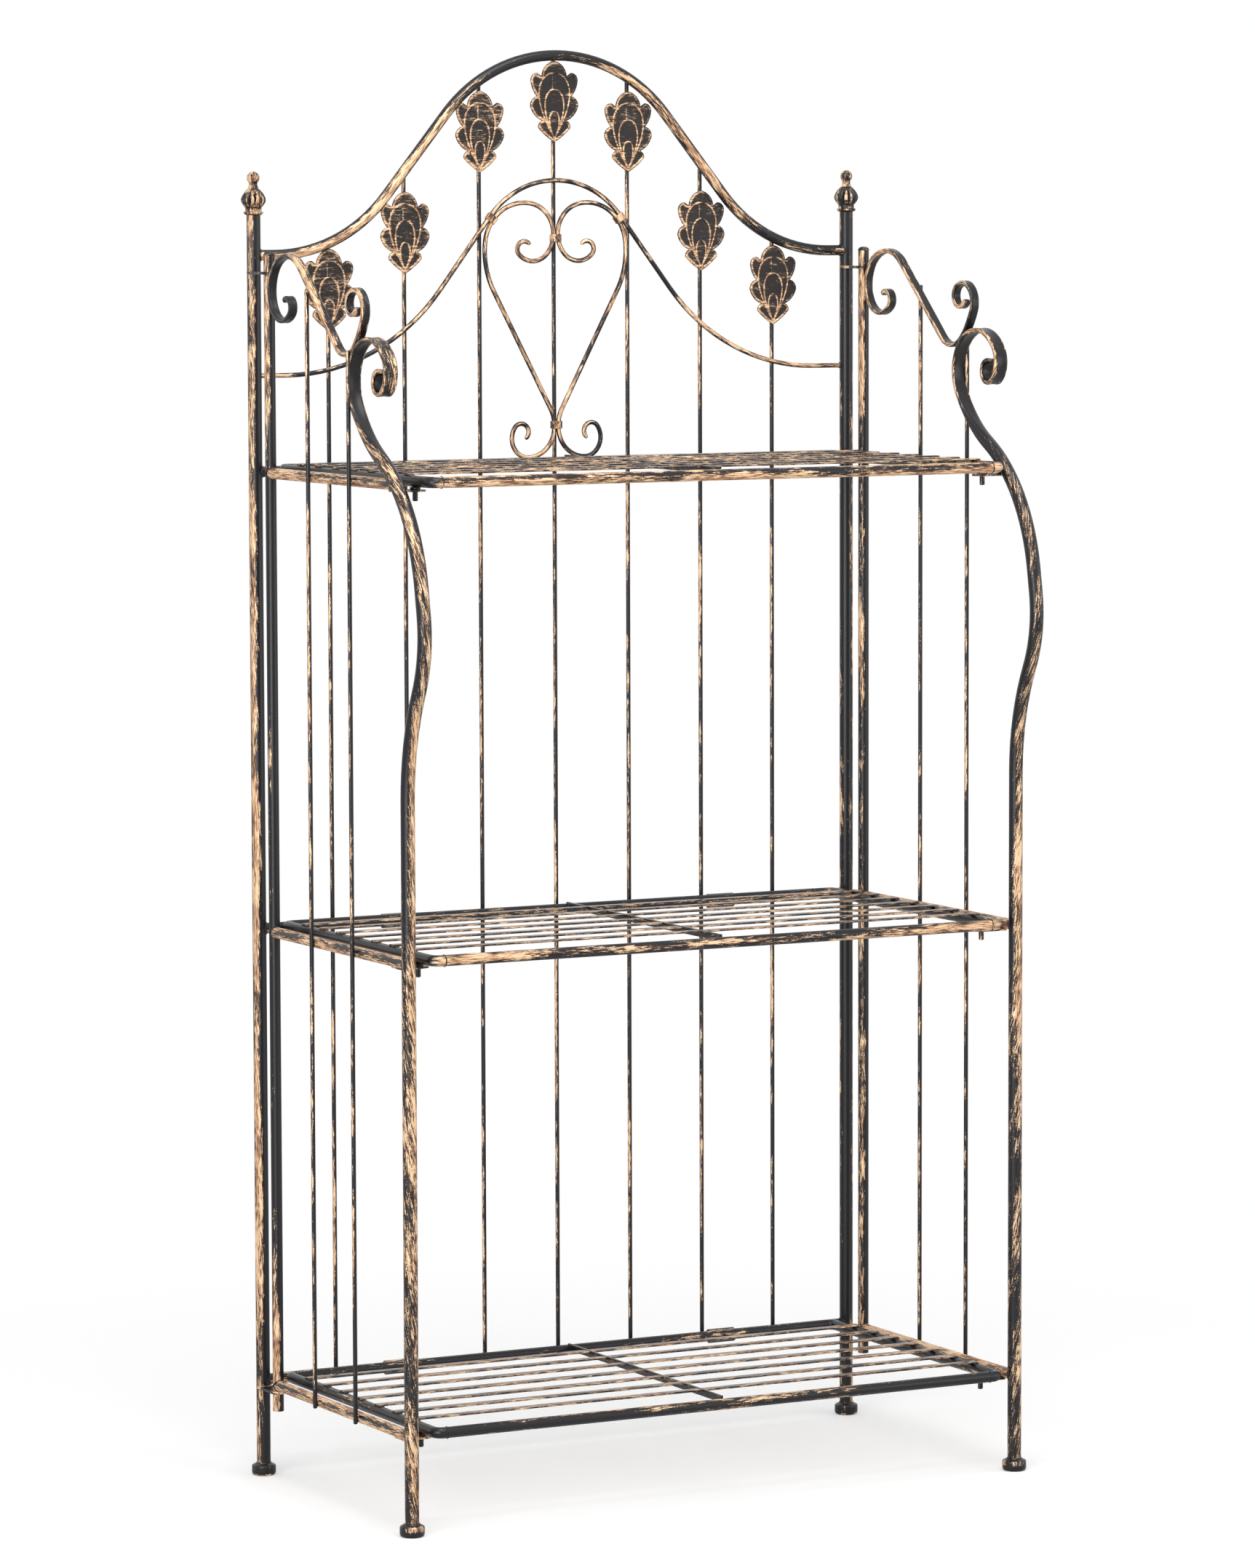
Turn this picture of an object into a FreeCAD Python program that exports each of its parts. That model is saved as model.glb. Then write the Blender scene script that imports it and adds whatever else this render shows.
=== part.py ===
"""Folding baker's rack in bent and welded steel tube.

A back panel of two posts carries three crossbars, seven rods with stamped leaves, a bell-shaped arch, a
thinner bell rod and two heart scrolls. A side panel hangs on each post in two hinge plates: a rear tube, a
front leg that bellies out and curls over, an S-shaped scroll bar, three side bars and two rods. Three
slatted shelves turn on the crossbars in two sleeves each, and drop two pins into tabs on the side panels.

Millimetres. +X is the rack's right, +Y its back and +Z up. The origin is on the floor in the middle of the
rack. A place is often given as (across, forward, height), with forward measured from the back posts.
"""
import FreeCAD, Part
import math
import os
import Sketcher
from FreeCAD import Placement, Rotation, Vector

doc = FreeCAD.newDocument("bakers_rack")

# ---------------------------------------------------------------- the sizes

SIZES = (
    ("half_width", 390, "middle of the rack to a post's axis"),
    ("post_diameter", 16, "back posts and front legs"),
    ("post_wall", 1.2, "wall of the posts and legs"),
    ("tube_diameter", 12.7, "crossbars, side bars, rear tubes, arch and shelf frames"),
    ("tube_wall", 1, "wall of those tubes"),
    ("rod_diameter", 5, "upright rods"),
    ("scroll_rod_diameter", 5.5, "bell rod and heart scrolls"),
    ("tier_first", 112, "floor to the lowest side bar's axis"),
    ("tier_spacing", 528, "one side bar to the next"),
    ("post_over_bar", 294.5, "top crossbar's axis up to the top of a back post"),
    ("foot_diameter", 28, "foot cap"),
    ("foot_rim", 9, "upright rim of the foot cap"),
    ("foot_bevel", 3, "bevel under the rim, and flare above it"),
    ("foot_floor", 4, "foot's floor under the tube"),
    ("foot_lip", 0.8, "foot's lip round the tube"),
    ("lip_diameter", 22.8, "finial's lip on the post's end"),
    ("lip_height", 3.8, "finial's lip on the post's end"),
    ("collar_diameter", 19, "finial's collar on the lip"),
    ("collar_height", 4.2, "finial's collar on the lip"),
    ("bulb_diameter", 28.8, "finial's melon bulb"),
    ("bulb_height", 21.5, "finial's melon bulb between collar and neck"),
    ("bulb_sink", 1.5, "how far the bulb sinks into collar and neck"),
    ("neck_diameter", 9.6, "finial's neck"),
    ("ball_diameter", 14.6, "finial's ball"),
    ("ball_rise", 12.3, "bulb's top to the ball's middle"),
    ("plug_length", 15, "finial's plug in the post"),
    ("rod_pitch", 97.5, "one back rod to the next"),
    ("arch_drop", 46.5, "post's top down to the arch's axis at the posts"),
    ("arch_rise", 230, "arch's axis at the posts up to its top"),
    ("arch_level", 26, "arch's level run beside a post"),
    ("arch_angle", 50.6, "degrees, slope of the arch's flank"),
    ("arch_crown_radius", 186.6, "arch's crown"),
    ("bell_drop", 184.5, "post's top down to the bell rod's axis at the posts"),
    ("bell_rise", 222.5, "bell rod's axis at the posts up to its top"),
    ("bell_level", 43.7, "bell rod's level run beside a post"),
    ("bell_angle", 52.33, "degrees, slope of the bell rod's flank"),
    ("bell_crown_radius", 108.8, "bell rod's crown"),
    ("leaf_width", 63, "stamped leaf"),
    ("leaf_height", 94.5, "stamped leaf"),
    ("leaf_thickness", 2, "stamped leaf"),
    ("leaf_gap", 0.3, "gap from a leaf's edge to the arch tube"),
    ("clasp_height", 9, "clasps round the scrolls"),
    ("clasp_wall", 1.2, "clasps round the scrolls"),
    ("bow_clasp_drop", 5, "hearts' bows meeting, down to their clasp's middle"),
    ("rear_tube_forward", 42, "post's axis to the side panel's rear tube"),
    ("rear_tube_tail", 30, "lowest side bar's axis down to the rear tube's end"),
    ("rear_tube_drop", 46.5, "post's top down to the rear tube's top"),
    ("cap_height", 4.5, "cap on the rear tube"),
    ("cap_skirt", 0.6, "cap's rim outside the tube"),
    ("plate_width", 18, "hinge plates"),
    ("plate_thickness", 3, "hinge plates"),
    ("plate_drop", 20, "rear tube's top down to the upper hinge plate's middle"),
    ("turning_gap", 0.1, "gap round a tube that turns in a plate or sleeve"),
    ("leg_forward", 396, "post's axis to the leg's axis at the floor"),
    ("leg_bend_drop", 348, "top side bar's axis down to the leg's first bend"),
    ("leg_kick_radius", 265, "leg leaning out under the belly"),
    ("leg_belly_radius", 137, "leg's belly"),
    ("leg_lean", 27, "straight run above the belly"),
    ("leg_shoulder_radius", 199, "leg turning in above the belly"),
    ("leg_nape_radius", 170, "leg turning up into its scroll"),
    ("leg_back_radius", 47.7, "back of the leg's scroll"),
    ("leg_crown_radius", 50.2, "top of the leg's scroll"),
    ("leg_curl_radius", 26.2, "front of the leg's scroll"),
    ("leg_tip_radius", 13, "tip of the leg's scroll"),
    ("scroll_width", 17, "leg's flattened scroll, across"),
    ("scroll_thickness", 6.5, "leg's flattened scroll"),
    ("bar_width", 10.5, "flattened scroll bar, across"),
    ("bar_thickness", 6.5, "flattened scroll bar"),
    ("bar_drop", 41, "rear tube's top down to where the scroll bar meets it"),
    ("bar_back_radius", 39, "back of the scroll bar"),
    ("bar_hollow_radius", 31.9, "scroll bar under its back"),
    ("bar_tip_radius", 10.4, "scroll bar's rear tip"),
    ("bar_crown_radius", 52.8, "top of the scroll bar"),
    ("bar_valley_radius", 35, "scroll bar's valley"),
    ("bar_rise_radius", 105, "scroll bar rising behind the leg's scroll"),
    ("bar_curl_radius", 22.9, "scroll bar's front curl"),
    ("bar_end_radius", 12.7, "scroll bar's front tip"),
    ("side_rod_first", 162, "post's axis to the rear side rod"),
    ("side_rod_second", 269.5, "post's axis to the front side rod"),
    ("shelf_forward", 405, "post's axis to the shelf's front tube"),
    ("rail_inset", 27, "post's axis to a shelf rail's axis, across"),
    ("corner_radius", 9, "shelf frame's front corners"),
    ("slat_width", 12, "slats"),
    ("slat_thickness", 2, "slats"),
    ("slat_pitch", 46.5, "one slat to the next"),
    ("slat_overhang", 3, "slat's end past the rail's axis"),
    ("batten_width", 8, "batten under the slats"),
    ("batten_thickness", 3, "batten under the slats"),
    ("sleeve_wall", 2, "hinge sleeves"),
    ("sleeve_length", 34, "hinge sleeves"),
    ("sleeve_rod_gap", 4, "back rod's axis to the sleeve's end"),
    ("pin_diameter", 6, "drop-in pins"),
    ("pin_drop", 19, "side bar's axis to the pin's tip"),
    ("pin_forward", 364, "post's axis to the pins"),
    ("pin_collar_diameter", 12, "pin's collar, which carries the shelf"),
    ("pin_collar_height", 3, "pin's collar, which carries the shelf"),
    ("tab_width", 24, "tabs for the pins"),
    ("tab_thickness", 2, "tabs for the pins"),
    ("tab_hole", 8, "tabs for the pins"),
)
SLATS = 7
TIERS = ("bottom", "middle", "top")
SIDES = (("left", -1), ("right", 1))

sheet = doc.addObject("Spreadsheet::Sheet", "sizes")
for row, (alias, value, note) in enumerate(SIZES, 1):
    sheet.set(f"A{row}", note)
    sheet.set(f"B{row}", str(value))
    sheet.setAlias(f"B{row}", alias)
doc.recompute()


def size(alias):
    """One size from the sheet, as a number."""
    return float(sheet.get(alias))


pieces = {}


def keep(label, source):
    """Name the object that stands for one finished piece."""
    source.Label = label
    pieces[label] = source
    return source


# ------------------------------------------------- paths of bent tube and rod

def bent(start, heading, steps):
    """Follow straight runs (length,) and bends (radius, turn) in a plane, turn in degrees, left positive.

    Returns the corners as (kind, points) pairs, the last point and the last heading.
    """
    across, height = start
    angle = math.radians(heading)
    path = []
    for step in steps:
        if len(step) == 1:
            end = (across + step[0] * math.cos(angle), height + step[0] * math.sin(angle))
            path.append(((across, height), end))
        else:
            radius, turn = step[0], math.radians(step[1])
            side = math.copysign(1.0, turn)
            middle = (across - side * radius * math.sin(angle), height + side * radius * math.cos(angle))
            first = angle - side * math.pi / 2

            def on_arc(share):
                at_angle = first + turn * share
                return (middle[0] + radius * math.cos(at_angle), middle[1] + radius * math.sin(at_angle))

            end = on_arc(1.0)
            path.append(((across, height), on_arc(0.5), end))
            angle += turn
        across, height = end
    return path, (across, height), math.degrees(angle)


def wire_in(plane, path):
    """Turn a flat path into a wire; plane(a, b) gives the point in space."""
    edges = []
    for points in path:
        corners = [plane(*point) for point in points]
        curve = Part.LineSegment(*corners) if len(corners) == 2 else Part.Arc(*corners)
        edges.append(curve.toShape())
    return Part.Wire(edges)


def place(across, forward, height):
    """A point given from the rack's middle, its back posts and the floor."""
    return Vector(across, back_line - forward, height)


def across_the_back(forward):
    """Upright plane parallel to the back panel."""
    return lambda a, b: place(a, forward, b)


def along_the_side(across):
    """Upright plane of a side panel: (forward, height)."""
    return lambda a, b: place(across, a, b)


def spine_object(label, wire):
    path = doc.addObject("Part::Feature", label + "_path")
    path.Shape = wire
    return path


def profile_frame(wire, crosswise, at_end=False):
    """Placement of a section at a wire's start or end, its x axis laid crosswise."""
    edge = wire.OrderedEdges[-1 if at_end else 0]
    param = edge.LastParameter if at_end else edge.FirstParameter
    along = edge.tangentAt(param)
    if edge.Orientation == "Reversed":
        param = edge.FirstParameter if at_end else edge.LastParameter
        along = edge.tangentAt(param).negative()
    return Placement(edge.valueAt(param), Rotation(crosswise, Vector(), along, "ZXY"))


def swept(label, wire, crosswise, *sections):
    """Sweep closed sections along a wire. A section is (major, minor) as expressions on the sheet."""
    path = spine_object(label, wire)
    rings = []
    for number, (major, minor) in enumerate(sections):
        ring = doc.addObject("Part::Ellipse", f"{label}_section_{number}")
        ring.setExpression("MajorRadius", major)
        ring.setExpression("MinorRadius", minor)
        ring.Placement = profile_frame(wire, crosswise, at_end=number > 0)
        rings.append(ring)
    sweep = doc.addObject("Part::Sweep", label + "_sweep")
    sweep.Sections = rings
    sweep.Spine = (path, [f"Edge{index + 1}" for index in range(len(wire.Edges))])
    sweep.Solid = True
    sweep.Frenet = False
    return sweep


def round_section(alias, wall=None):
    radius = f"sizes.{alias} / 2" + (f" - sizes.{wall}" if wall else "")
    return (radius, radius)


def rod_along(start, end, alias, label, wall=None):
    """Straight round bar from start to end, as thick as a size in the sheet."""
    bar = doc.addObject("Part::Cylinder", label)
    bar.setExpression("Radius", round_section(alias, wall)[0])
    bar.Height = (end - start).Length
    bar.Placement = Placement(start, Rotation(Vector(0, 0, 1), end - start))
    return bar


def joined(label, members):
    if len(members) == 1:
        return members[0]
    union = doc.addObject("Part::MultiFuse", label)
    union.Shapes = members
    return union


def cut(label, base, *tools):
    """Take the tools out of the base one by one, as when a tube's end is notched to sit on another tube."""
    for number, tool in enumerate(tools, 1):
        notch = doc.addObject("Part::Cut", f"{label}_{number}")
        notch.Base = base
        notch.Tool = tool
        base = notch
    return base


def group(label, members):
    """Like pieces kept together as one node of separate solids."""
    together = doc.addObject("Part::Compound", label)
    together.Links = members
    return keep(label, together)


# Heights are counted from the crossbars, so that what is welded together keeps together.
tier_heights = [size("tier_first") + size("tier_spacing") * tier for tier in range(len(TIERS))]
post_top = tier_heights[-1] + size("post_over_bar")
rear_bottom = tier_heights[0] - size("rear_tube_tail")
rear_top = post_top - size("rear_tube_drop")

# The front leg's line is needed first: its belly is the rack's furthest reach, and so sets the origin.
LEG_BELLY = (("kick", -27.4), ("belly", 37.5))
LEG_SHOULDER = (("shoulder", 51.3),)
LEG_NAPE = (("nape", -28.4),)
LEG_CURL = (("back", -87.6), ("crown", -90.5), ("curl", -90.3), ("tip", -240.0))


def bends(part, turns):
    """Bends of a front leg or a scroll bar, their radii from the sheet."""
    return [(size(f"{part}_{name}_radius"), turn) for name, turn in turns]


leg_upright = tier_heights[-1] - size("leg_bend_drop") - size("foot_floor")
stem_path, stem_end, stem_heading = bent((size("leg_forward"), size("foot_floor")), 90,
                                         [(leg_upright,), *bends("leg", LEG_BELLY), (size("leg_lean"),),
                                          *bends("leg", LEG_SHOULDER)])
nape_path, nape_end, nape_heading = bent(stem_end, stem_heading, bends("leg", LEG_NAPE))
curl_path = bent(nape_end, nape_heading, bends("leg", LEG_CURL))[0]
leg_path = stem_path + nape_path + curl_path
leg_line = wire_in(lambda a, b: Vector(0, -a, b), leg_path)
leg_reach = -leg_line.BoundBox.YMin + size("post_diameter") / 2
back_line = (leg_reach - size("foot_diameter") / 2) / 2

post_radius = size("post_diameter") / 2
tube_radius = size("tube_diameter") / 2
rod_radius = size("rod_diameter") / 2
scroll_radius = size("scroll_rod_diameter") / 2
ACROSS = Vector(1, 0, 0)
BACKWARD = Vector(0, 1, 0)
UP = Vector(0, 0, 1)


def crossing_height(path_line, across, forward, from_height, to_height):
    """Lowest height between two limits at which an upright line meets a path's wire."""
    upright = Part.makeLine(place(across, forward, from_height), place(across, forward, to_height))
    return min(pair[1].z for pair in upright.distToShape(path_line)[1])


def crossing_forward(path_line, across, height):
    """Distance in front of the back posts at which a level line meets a path's wire."""
    level = Part.makeLine(place(across, size("rear_tube_forward"), height), place(across, leg_reach, height))
    return back_line - level.distToShape(path_line)[1][0][1].y


def settle(distance_at, wanted, low, high):
    """Value between low and high at which a falling distance reaches the wanted one."""
    for _ in range(40):
        middle = (low + high) / 2
        if distance_at(middle) > wanted:
            low = middle
        else:
            high = middle
    return (low + high) / 2


# ------------------------------------------------------------ posts and feet

def capped_foot(label, across, forward):
    """Cap on a tube's lower end: bevel, upright rim and flare, with a socket for the tube."""
    under = doc.addObject("Part::Cone", label + "_under")
    under.setExpression("Radius1", "sizes.foot_diameter / 2 - sizes.foot_bevel")
    under.setExpression("Radius2", "sizes.foot_diameter / 2")
    under.setExpression("Height", "sizes.foot_bevel")
    under.Placement.Base = place(across, forward, 0)
    rim = doc.addObject("Part::Cylinder", label + "_rim")
    rim.setExpression("Radius", "sizes.foot_diameter / 2")
    rim.setExpression("Height", "sizes.foot_rim")
    rim.Placement.Base = place(across, forward, size("foot_bevel"))
    flare = doc.addObject("Part::Cone", label + "_flare")
    flare.setExpression("Radius1", "sizes.foot_diameter / 2 - sizes.foot_bevel")
    flare.setExpression("Radius2", "sizes.post_diameter / 2 + sizes.foot_lip")
    flare.setExpression("Height", "sizes.foot_bevel")
    flare.Placement.Base = place(across, forward, size("foot_bevel") + size("foot_rim"))
    socket = doc.addObject("Part::Cylinder", label + "_socket")
    socket.setExpression("Radius", "sizes.post_diameter / 2")
    socket.setExpression("Height", "sizes.foot_rim + 2 * sizes.foot_bevel")
    socket.Placement.Base = place(across, forward, size("foot_floor"))
    keep(label, cut(label + "_cap", joined(label + "_body", [under, rim, flare]), socket))


post_outer = {}
for side, sign in SIDES:
    foot = place(sign * size("half_width"), 0, size("foot_floor"))
    head = place(sign * size("half_width"), 0, post_top)
    post_outer[side] = rod_along(foot, head, "post_diameter", f"post_{side}_outside")
    bore = rod_along(foot, head, "post_diameter", f"post_{side}_bore", "post_wall")
    keep(f"back_post_{side}", cut(f"post_{side}_tube", post_outer[side], bore))
    capped_foot(f"post_foot_{side}", sign * size("half_width"), 0)


# ------------------------------------------------------------------- finials

def finial(label, across):
    """Lip, collar, melon bulb, neck and ball in one casting, with a plug that fits the post's bore."""
    collar_base = post_top + size("lip_height")
    bulb_base = collar_base + size("collar_height")
    bulb_top = bulb_base + size("bulb_height")
    plug = doc.addObject("Part::Cylinder", label + "_plug")
    plug.setExpression("Radius", "sizes.post_diameter / 2 - sizes.post_wall")
    plug.setExpression("Height", "sizes.plug_length")
    plug.Placement.Base = place(across, 0, post_top - size("plug_length"))
    lip = doc.addObject("Part::Cylinder", label + "_lip")
    lip.setExpression("Radius", "sizes.lip_diameter / 2")
    lip.setExpression("Height", "sizes.lip_height")
    lip.Placement.Base = place(across, 0, post_top)
    collar = doc.addObject("Part::Cylinder", label + "_collar")
    collar.setExpression("Radius", "sizes.collar_diameter / 2")
    collar.setExpression("Height", "sizes.collar_height")
    collar.Placement.Base = place(across, 0, collar_base)
    bulb = doc.addObject("Part::Ellipsoid", label + "_bulb")
    bulb.setExpression("Radius1", "sizes.bulb_height / 2 + sizes.bulb_sink")
    bulb.setExpression("Radius2", "sizes.bulb_diameter / 2")
    bulb.setExpression("Radius3", "sizes.bulb_diameter / 2")
    bulb.Placement.Base = place(across, 0, (bulb_base + bulb_top) / 2)
    neck = doc.addObject("Part::Cylinder", label + "_neck")
    neck.setExpression("Radius", "sizes.neck_diameter / 2")
    neck.setExpression("Height", "sizes.ball_rise + sizes.bulb_sink")
    neck.Placement.Base = place(across, 0, bulb_top - size("bulb_sink"))
    ball = doc.addObject("Part::Sphere", label + "_ball")
    ball.setExpression("Radius", "sizes.ball_diameter / 2")
    ball.Placement.Base = place(across, 0, bulb_top + size("ball_rise"))
    keep(label, joined(label + "_casting", [plug, lip, collar, bulb, neck, ball]))


for side, sign in SIDES:
    finial(f"finial_{side}", sign * size("half_width"))


# ---------------------------------------------------------------- crossbars

crossbar_outer = {}
for tier, height in zip(TIERS, tier_heights):
    ends = (place(-size("half_width"), 0, height), place(size("half_width"), 0, height))
    crossbar_outer[tier] = rod_along(*ends, "tube_diameter", f"crossbar_{tier}_outside")
    bore = rod_along(*ends, "tube_diameter", f"crossbar_{tier}_bore", "tube_wall")
    keep(f"back_crossbar_{tier}",
         cut(f"crossbar_{tier}_tube", crossbar_outer[tier], bore, post_outer["left"], post_outer["right"]))


# ------------------------------------------------------ arch tube, bell rod

def bell_line(name):
    """Bell-shaped line from post to post: level run, flare, straight flank, crown, and back down.

    Across and up from the level run's end to the top, radii being the flare's and the crown's together:
    across = radii * sin(slope) + flank * cos(slope), rise = radii * (1 - cos(slope)) + flank * sin(slope).
    """
    level, rise, slope = size(f"{name}_level"), size(f"{name}_rise"), size(f"{name}_angle")
    across, crown = size("half_width") - level, size(f"{name}_crown_radius")
    sine, cosine = math.sin(math.radians(slope)), math.cos(math.radians(slope))
    radii = (across * sine - rise * cosine) / (1 - cosine)
    flank = rise * sine / (1 - cosine) - across
    foot = (-size("half_width"), post_top - size(f"{name}_drop"))
    rising = [(level,), (radii - crown, slope), (flank,)]
    return bent(foot, 0, [*rising, (crown, -2 * slope), *reversed(rising)])[0]


rod_back = -(tube_radius + rod_radius)
scroll_plane = -(tube_radius - scroll_radius)
arch_line = wire_in(across_the_back(0), bell_line("arch"))
arch_outer = swept("arch", arch_line, BACKWARD, round_section("tube_diameter"))
arch_bore = swept("arch_bore", arch_line, BACKWARD, round_section("tube_diameter", "tube_wall"))
keep("arch_tube", cut("arch_notched", arch_outer, arch_bore, post_outer["left"], post_outer["right"]))

bell_wire = wire_in(across_the_back(scroll_plane), bell_line("bell"))
bell_outer = swept("bell", bell_wire, BACKWARD, round_section("scroll_rod_diameter"))
bell_rod = keep("bell_rod", cut("bell_notched", bell_outer, post_outer["left"], post_outer["right"]))


# --------------------------------------------------------- back rods, leaves

# Right half of a leaf, as shares of its width and height: each arc by its start, middle and end.
LEAF_ARCS = (((0.02, 0.500), (0.195, 0.428), (0.262, 0.316)),
             ((0.262, 0.316), (0.303, 0.322), (0.350, 0.356)),
             ((0.350, 0.356), (0.440, 0.335), (0.487, 0.250)),
             ((0.487, 0.250), (0.445, 0.150), (0.361, 0.066)),
             ((0.361, 0.066), (0.455, 0.030), (0.500, -0.050)),
             ((0.500, -0.050), (0.410, -0.165), (0.256, -0.235)),
             ((0.256, -0.235), (0.315, -0.265), (0.335, -0.322)),
             ((0.335, -0.322), (0.185, -0.417), (0.000, -0.500)))


def leaf_outline():
    """Lobed leaf round (0, 0), from the right half's arcs and their mirror."""
    width, height = size("leaf_width"), size("leaf_height")
    right = [tuple((a * width, b * height) for a, b in arc) for arc in LEAF_ARCS]
    left = [tuple((-a, b) for a, b in reversed(arc)) for arc in reversed(right)]
    return right + left + [(left[-1][-1], right[0][0])]


def leaf_clearance(across, height):
    """Gap between a leaf's outline at a place on the back panel and the arch's axis."""
    outline = wire_in(lambda a, b: place(across + a, 0, height + b), leaf_outline())
    return outline.distToShape(arch_line)[0]


back_rods = []
for number, step in enumerate(range(-3, 4), 1):
    across = step * size("rod_pitch")
    top = crossing_height(arch_line, across, 0, tier_heights[-1], post_top + size("arch_rise"))
    foot = place(across, rod_back, tier_heights[0] - tube_radius)
    rod = rod_along(foot, place(across, rod_back, top), "rod_diameter", f"rod_{number}")
    back_rods.append(keep(f"back_rod_{number}", rod))
    leaf_middle = settle(lambda height: leaf_clearance(across, height), tube_radius + size("leaf_gap"),
                         top - 2 * size("leaf_height"), top - size("leaf_height") / 2)
    outline = doc.addObject("Part::Feature", f"leaf_{number}_outline")
    outline.Shape = wire_in(across_the_back(-tube_radius), leaf_outline())
    outline.Placement.Base = Vector(across, 0, leaf_middle)
    leaf = doc.addObject("Part::Extrusion", f"leaf_{number}_stamping")
    leaf.Base = outline
    leaf.DirMode = "Custom"
    leaf.Dir = BACKWARD.negative()
    leaf.setExpression("LengthFwd", "sizes.leaf_thickness")
    leaf.Solid = True
    keep(f"leaf_{number}", leaf)


# ------------------------------------------------------------- heart scrolls

# Bends of one heart scroll from its waist, where it touches its twin: (share of its scale, turn).
HEART_SIDE = ((0.132, 28.1),)
HEART_CROWN = ((0.326, -34.2), (0.167, -94.1), (0.118, -79.8))
HEART_CURL = ((0.116, -41.5), (0.080, -95.2), (0.030, -187.4))
HEART_FOOT = ((0.376, -2.3), (0.113, -87.7))
HEART_TOE = ((0.066, -44.3), (0.076, -80.2), (0.032, -201.3))


def scaled(scale, *bends):
    return [(share * scale, turn) for part in bends for share, turn in part]


def waist_height(scale):
    """Height of a heart's waist: its foot's lowest point rests on the top crossbar."""
    rest = math.sqrt((tube_radius + scroll_radius) ** 2 - scroll_plane ** 2)
    return tier_heights[-1] + rest - bent((0, 0), -90, scaled(scale, HEART_FOOT))[1][1]


def heart_flank(scale):
    """Straight run that brings the bow back to the middle line, and the bow's rise over the waist there."""
    _, top_of_side, lean = bent((0, 0), 90, scaled(scale, HEART_SIDE))
    bow = bent((0, 0), lean, scaled(scale, HEART_CROWN))[1]
    slope = math.radians(lean)
    flank = -(top_of_side[0] + bow[0]) / math.cos(slope)
    return flank, top_of_side[1] + flank * math.sin(slope) + bow[1]


def heart_path(scale, side):
    """Line of one heart scroll, standing on the top crossbar with its waist beside the middle line."""
    down = scaled(scale, HEART_FOOT, HEART_TOE)
    _, tip, heading = bent((-scroll_radius, waist_height(scale)), -90, down)
    back_up = [(radius, -turn) for radius, turn in reversed(down)]
    whole = bent(tip, heading + 180, [*back_up, *scaled(scale, HEART_SIDE), (heart_flank(scale)[0],),
                                      *scaled(scale, HEART_CROWN, HEART_CURL)])[0]
    return [tuple((-side * a, b) for a, b in points) for points in whole]


def heart_wire(scale, side=-1):
    return wire_in(across_the_back(scroll_plane), heart_path(scale, side))


bell_clear = bell_wire.BoundBox.ZMax - tier_heights[-1]
heart_scale = settle(lambda scale: heart_wire(scale).distToShape(bell_wire)[0], 2 * scroll_radius,
                     0.3 * bell_clear, 1.1 * bell_clear)
hearts = {}
for side, sign in SIDES:
    wire = heart_wire(heart_scale, sign)
    hearts[side] = keep(f"heart_scroll_{side}",
                        swept(f"heart_{side}", wire, BACKWARD, round_section("scroll_rod_diameter")))


def clasp(label, middle, lean, tools):
    """Band folded round two rods that lie side by side, turned to follow them."""
    band = doc.addObject("Part::Box", label + "_band")
    band.setExpression("Length", "2 * (sizes.scroll_rod_diameter + sizes.clasp_wall)")
    band.setExpression("Width", "sizes.scroll_rod_diameter + 2 * sizes.clasp_wall")
    band.setExpression("Height", "sizes.clasp_height")
    turn = Rotation(BACKWARD, lean)
    half = Vector(scroll_radius * 2 + size("clasp_wall"), scroll_radius + size("clasp_wall"),
                  size("clasp_height") / 2)
    band.Placement = Placement(middle - turn.multVec(half), turn)
    return cut(label + "_clasp", band, *tools)


def touch_point(wire, other):
    pair = wire.distToShape(other)[1][0]
    return (pair[0] + pair[1]) / 2, pair[1] - pair[0]


waist = place(0, scroll_plane, waist_height(heart_scale))
bows = waist + UP * (heart_flank(heart_scale)[1] - size("bow_clasp_drop"))
clasps = [clasp(name, middle, 0, [hearts["left"], hearts["right"], back_rods[3]])
          for name, middle in (("waist", waist), ("bows", bows))]
for side, sign in SIDES:
    middle, across_rods = touch_point(heart_wire(heart_scale, sign), bell_wire)
    lean = -math.degrees(math.atan2(across_rods.z, across_rods.x))
    near_rod = back_rods[3 + sign]
    clasps.append(clasp(f"shoulder_{side}", middle, lean, [hearts[side], bell_rod, near_rod]))
group("scroll_clasps", clasps)


# ------------------------------------------------- side panels: tubes and leg

rear_outer = {}
caps = []
for side, sign in SIDES:
    across = sign * size("half_width")
    ends = [place(across, size("rear_tube_forward"), height) for height in (rear_bottom, rear_top)]
    rear_outer[side] = rod_along(*ends, "tube_diameter", f"rear_tube_{side}_outside")
    bore = rod_along(*ends, "tube_diameter", f"rear_tube_{side}_bore", "tube_wall")
    keep(f"side_rear_tube_{side}", cut(f"rear_tube_{side}", rear_outer[side], bore))
    dome = doc.addObject("Part::Ellipsoid", f"cap_{side}_dome")
    dome.setExpression("Radius1", "sizes.cap_height")
    dome.setExpression("Radius2", "sizes.tube_diameter / 2 + sizes.cap_skirt")
    dome.setExpression("Radius3", "sizes.tube_diameter / 2 + sizes.cap_skirt")
    dome.Angle1 = 0
    dome.Placement.Base = ends[1]
    caps.append(dome)
    capped_foot(f"leg_foot_{side}", across, size("leg_forward"))
group("rear_tube_caps", caps)

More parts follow.
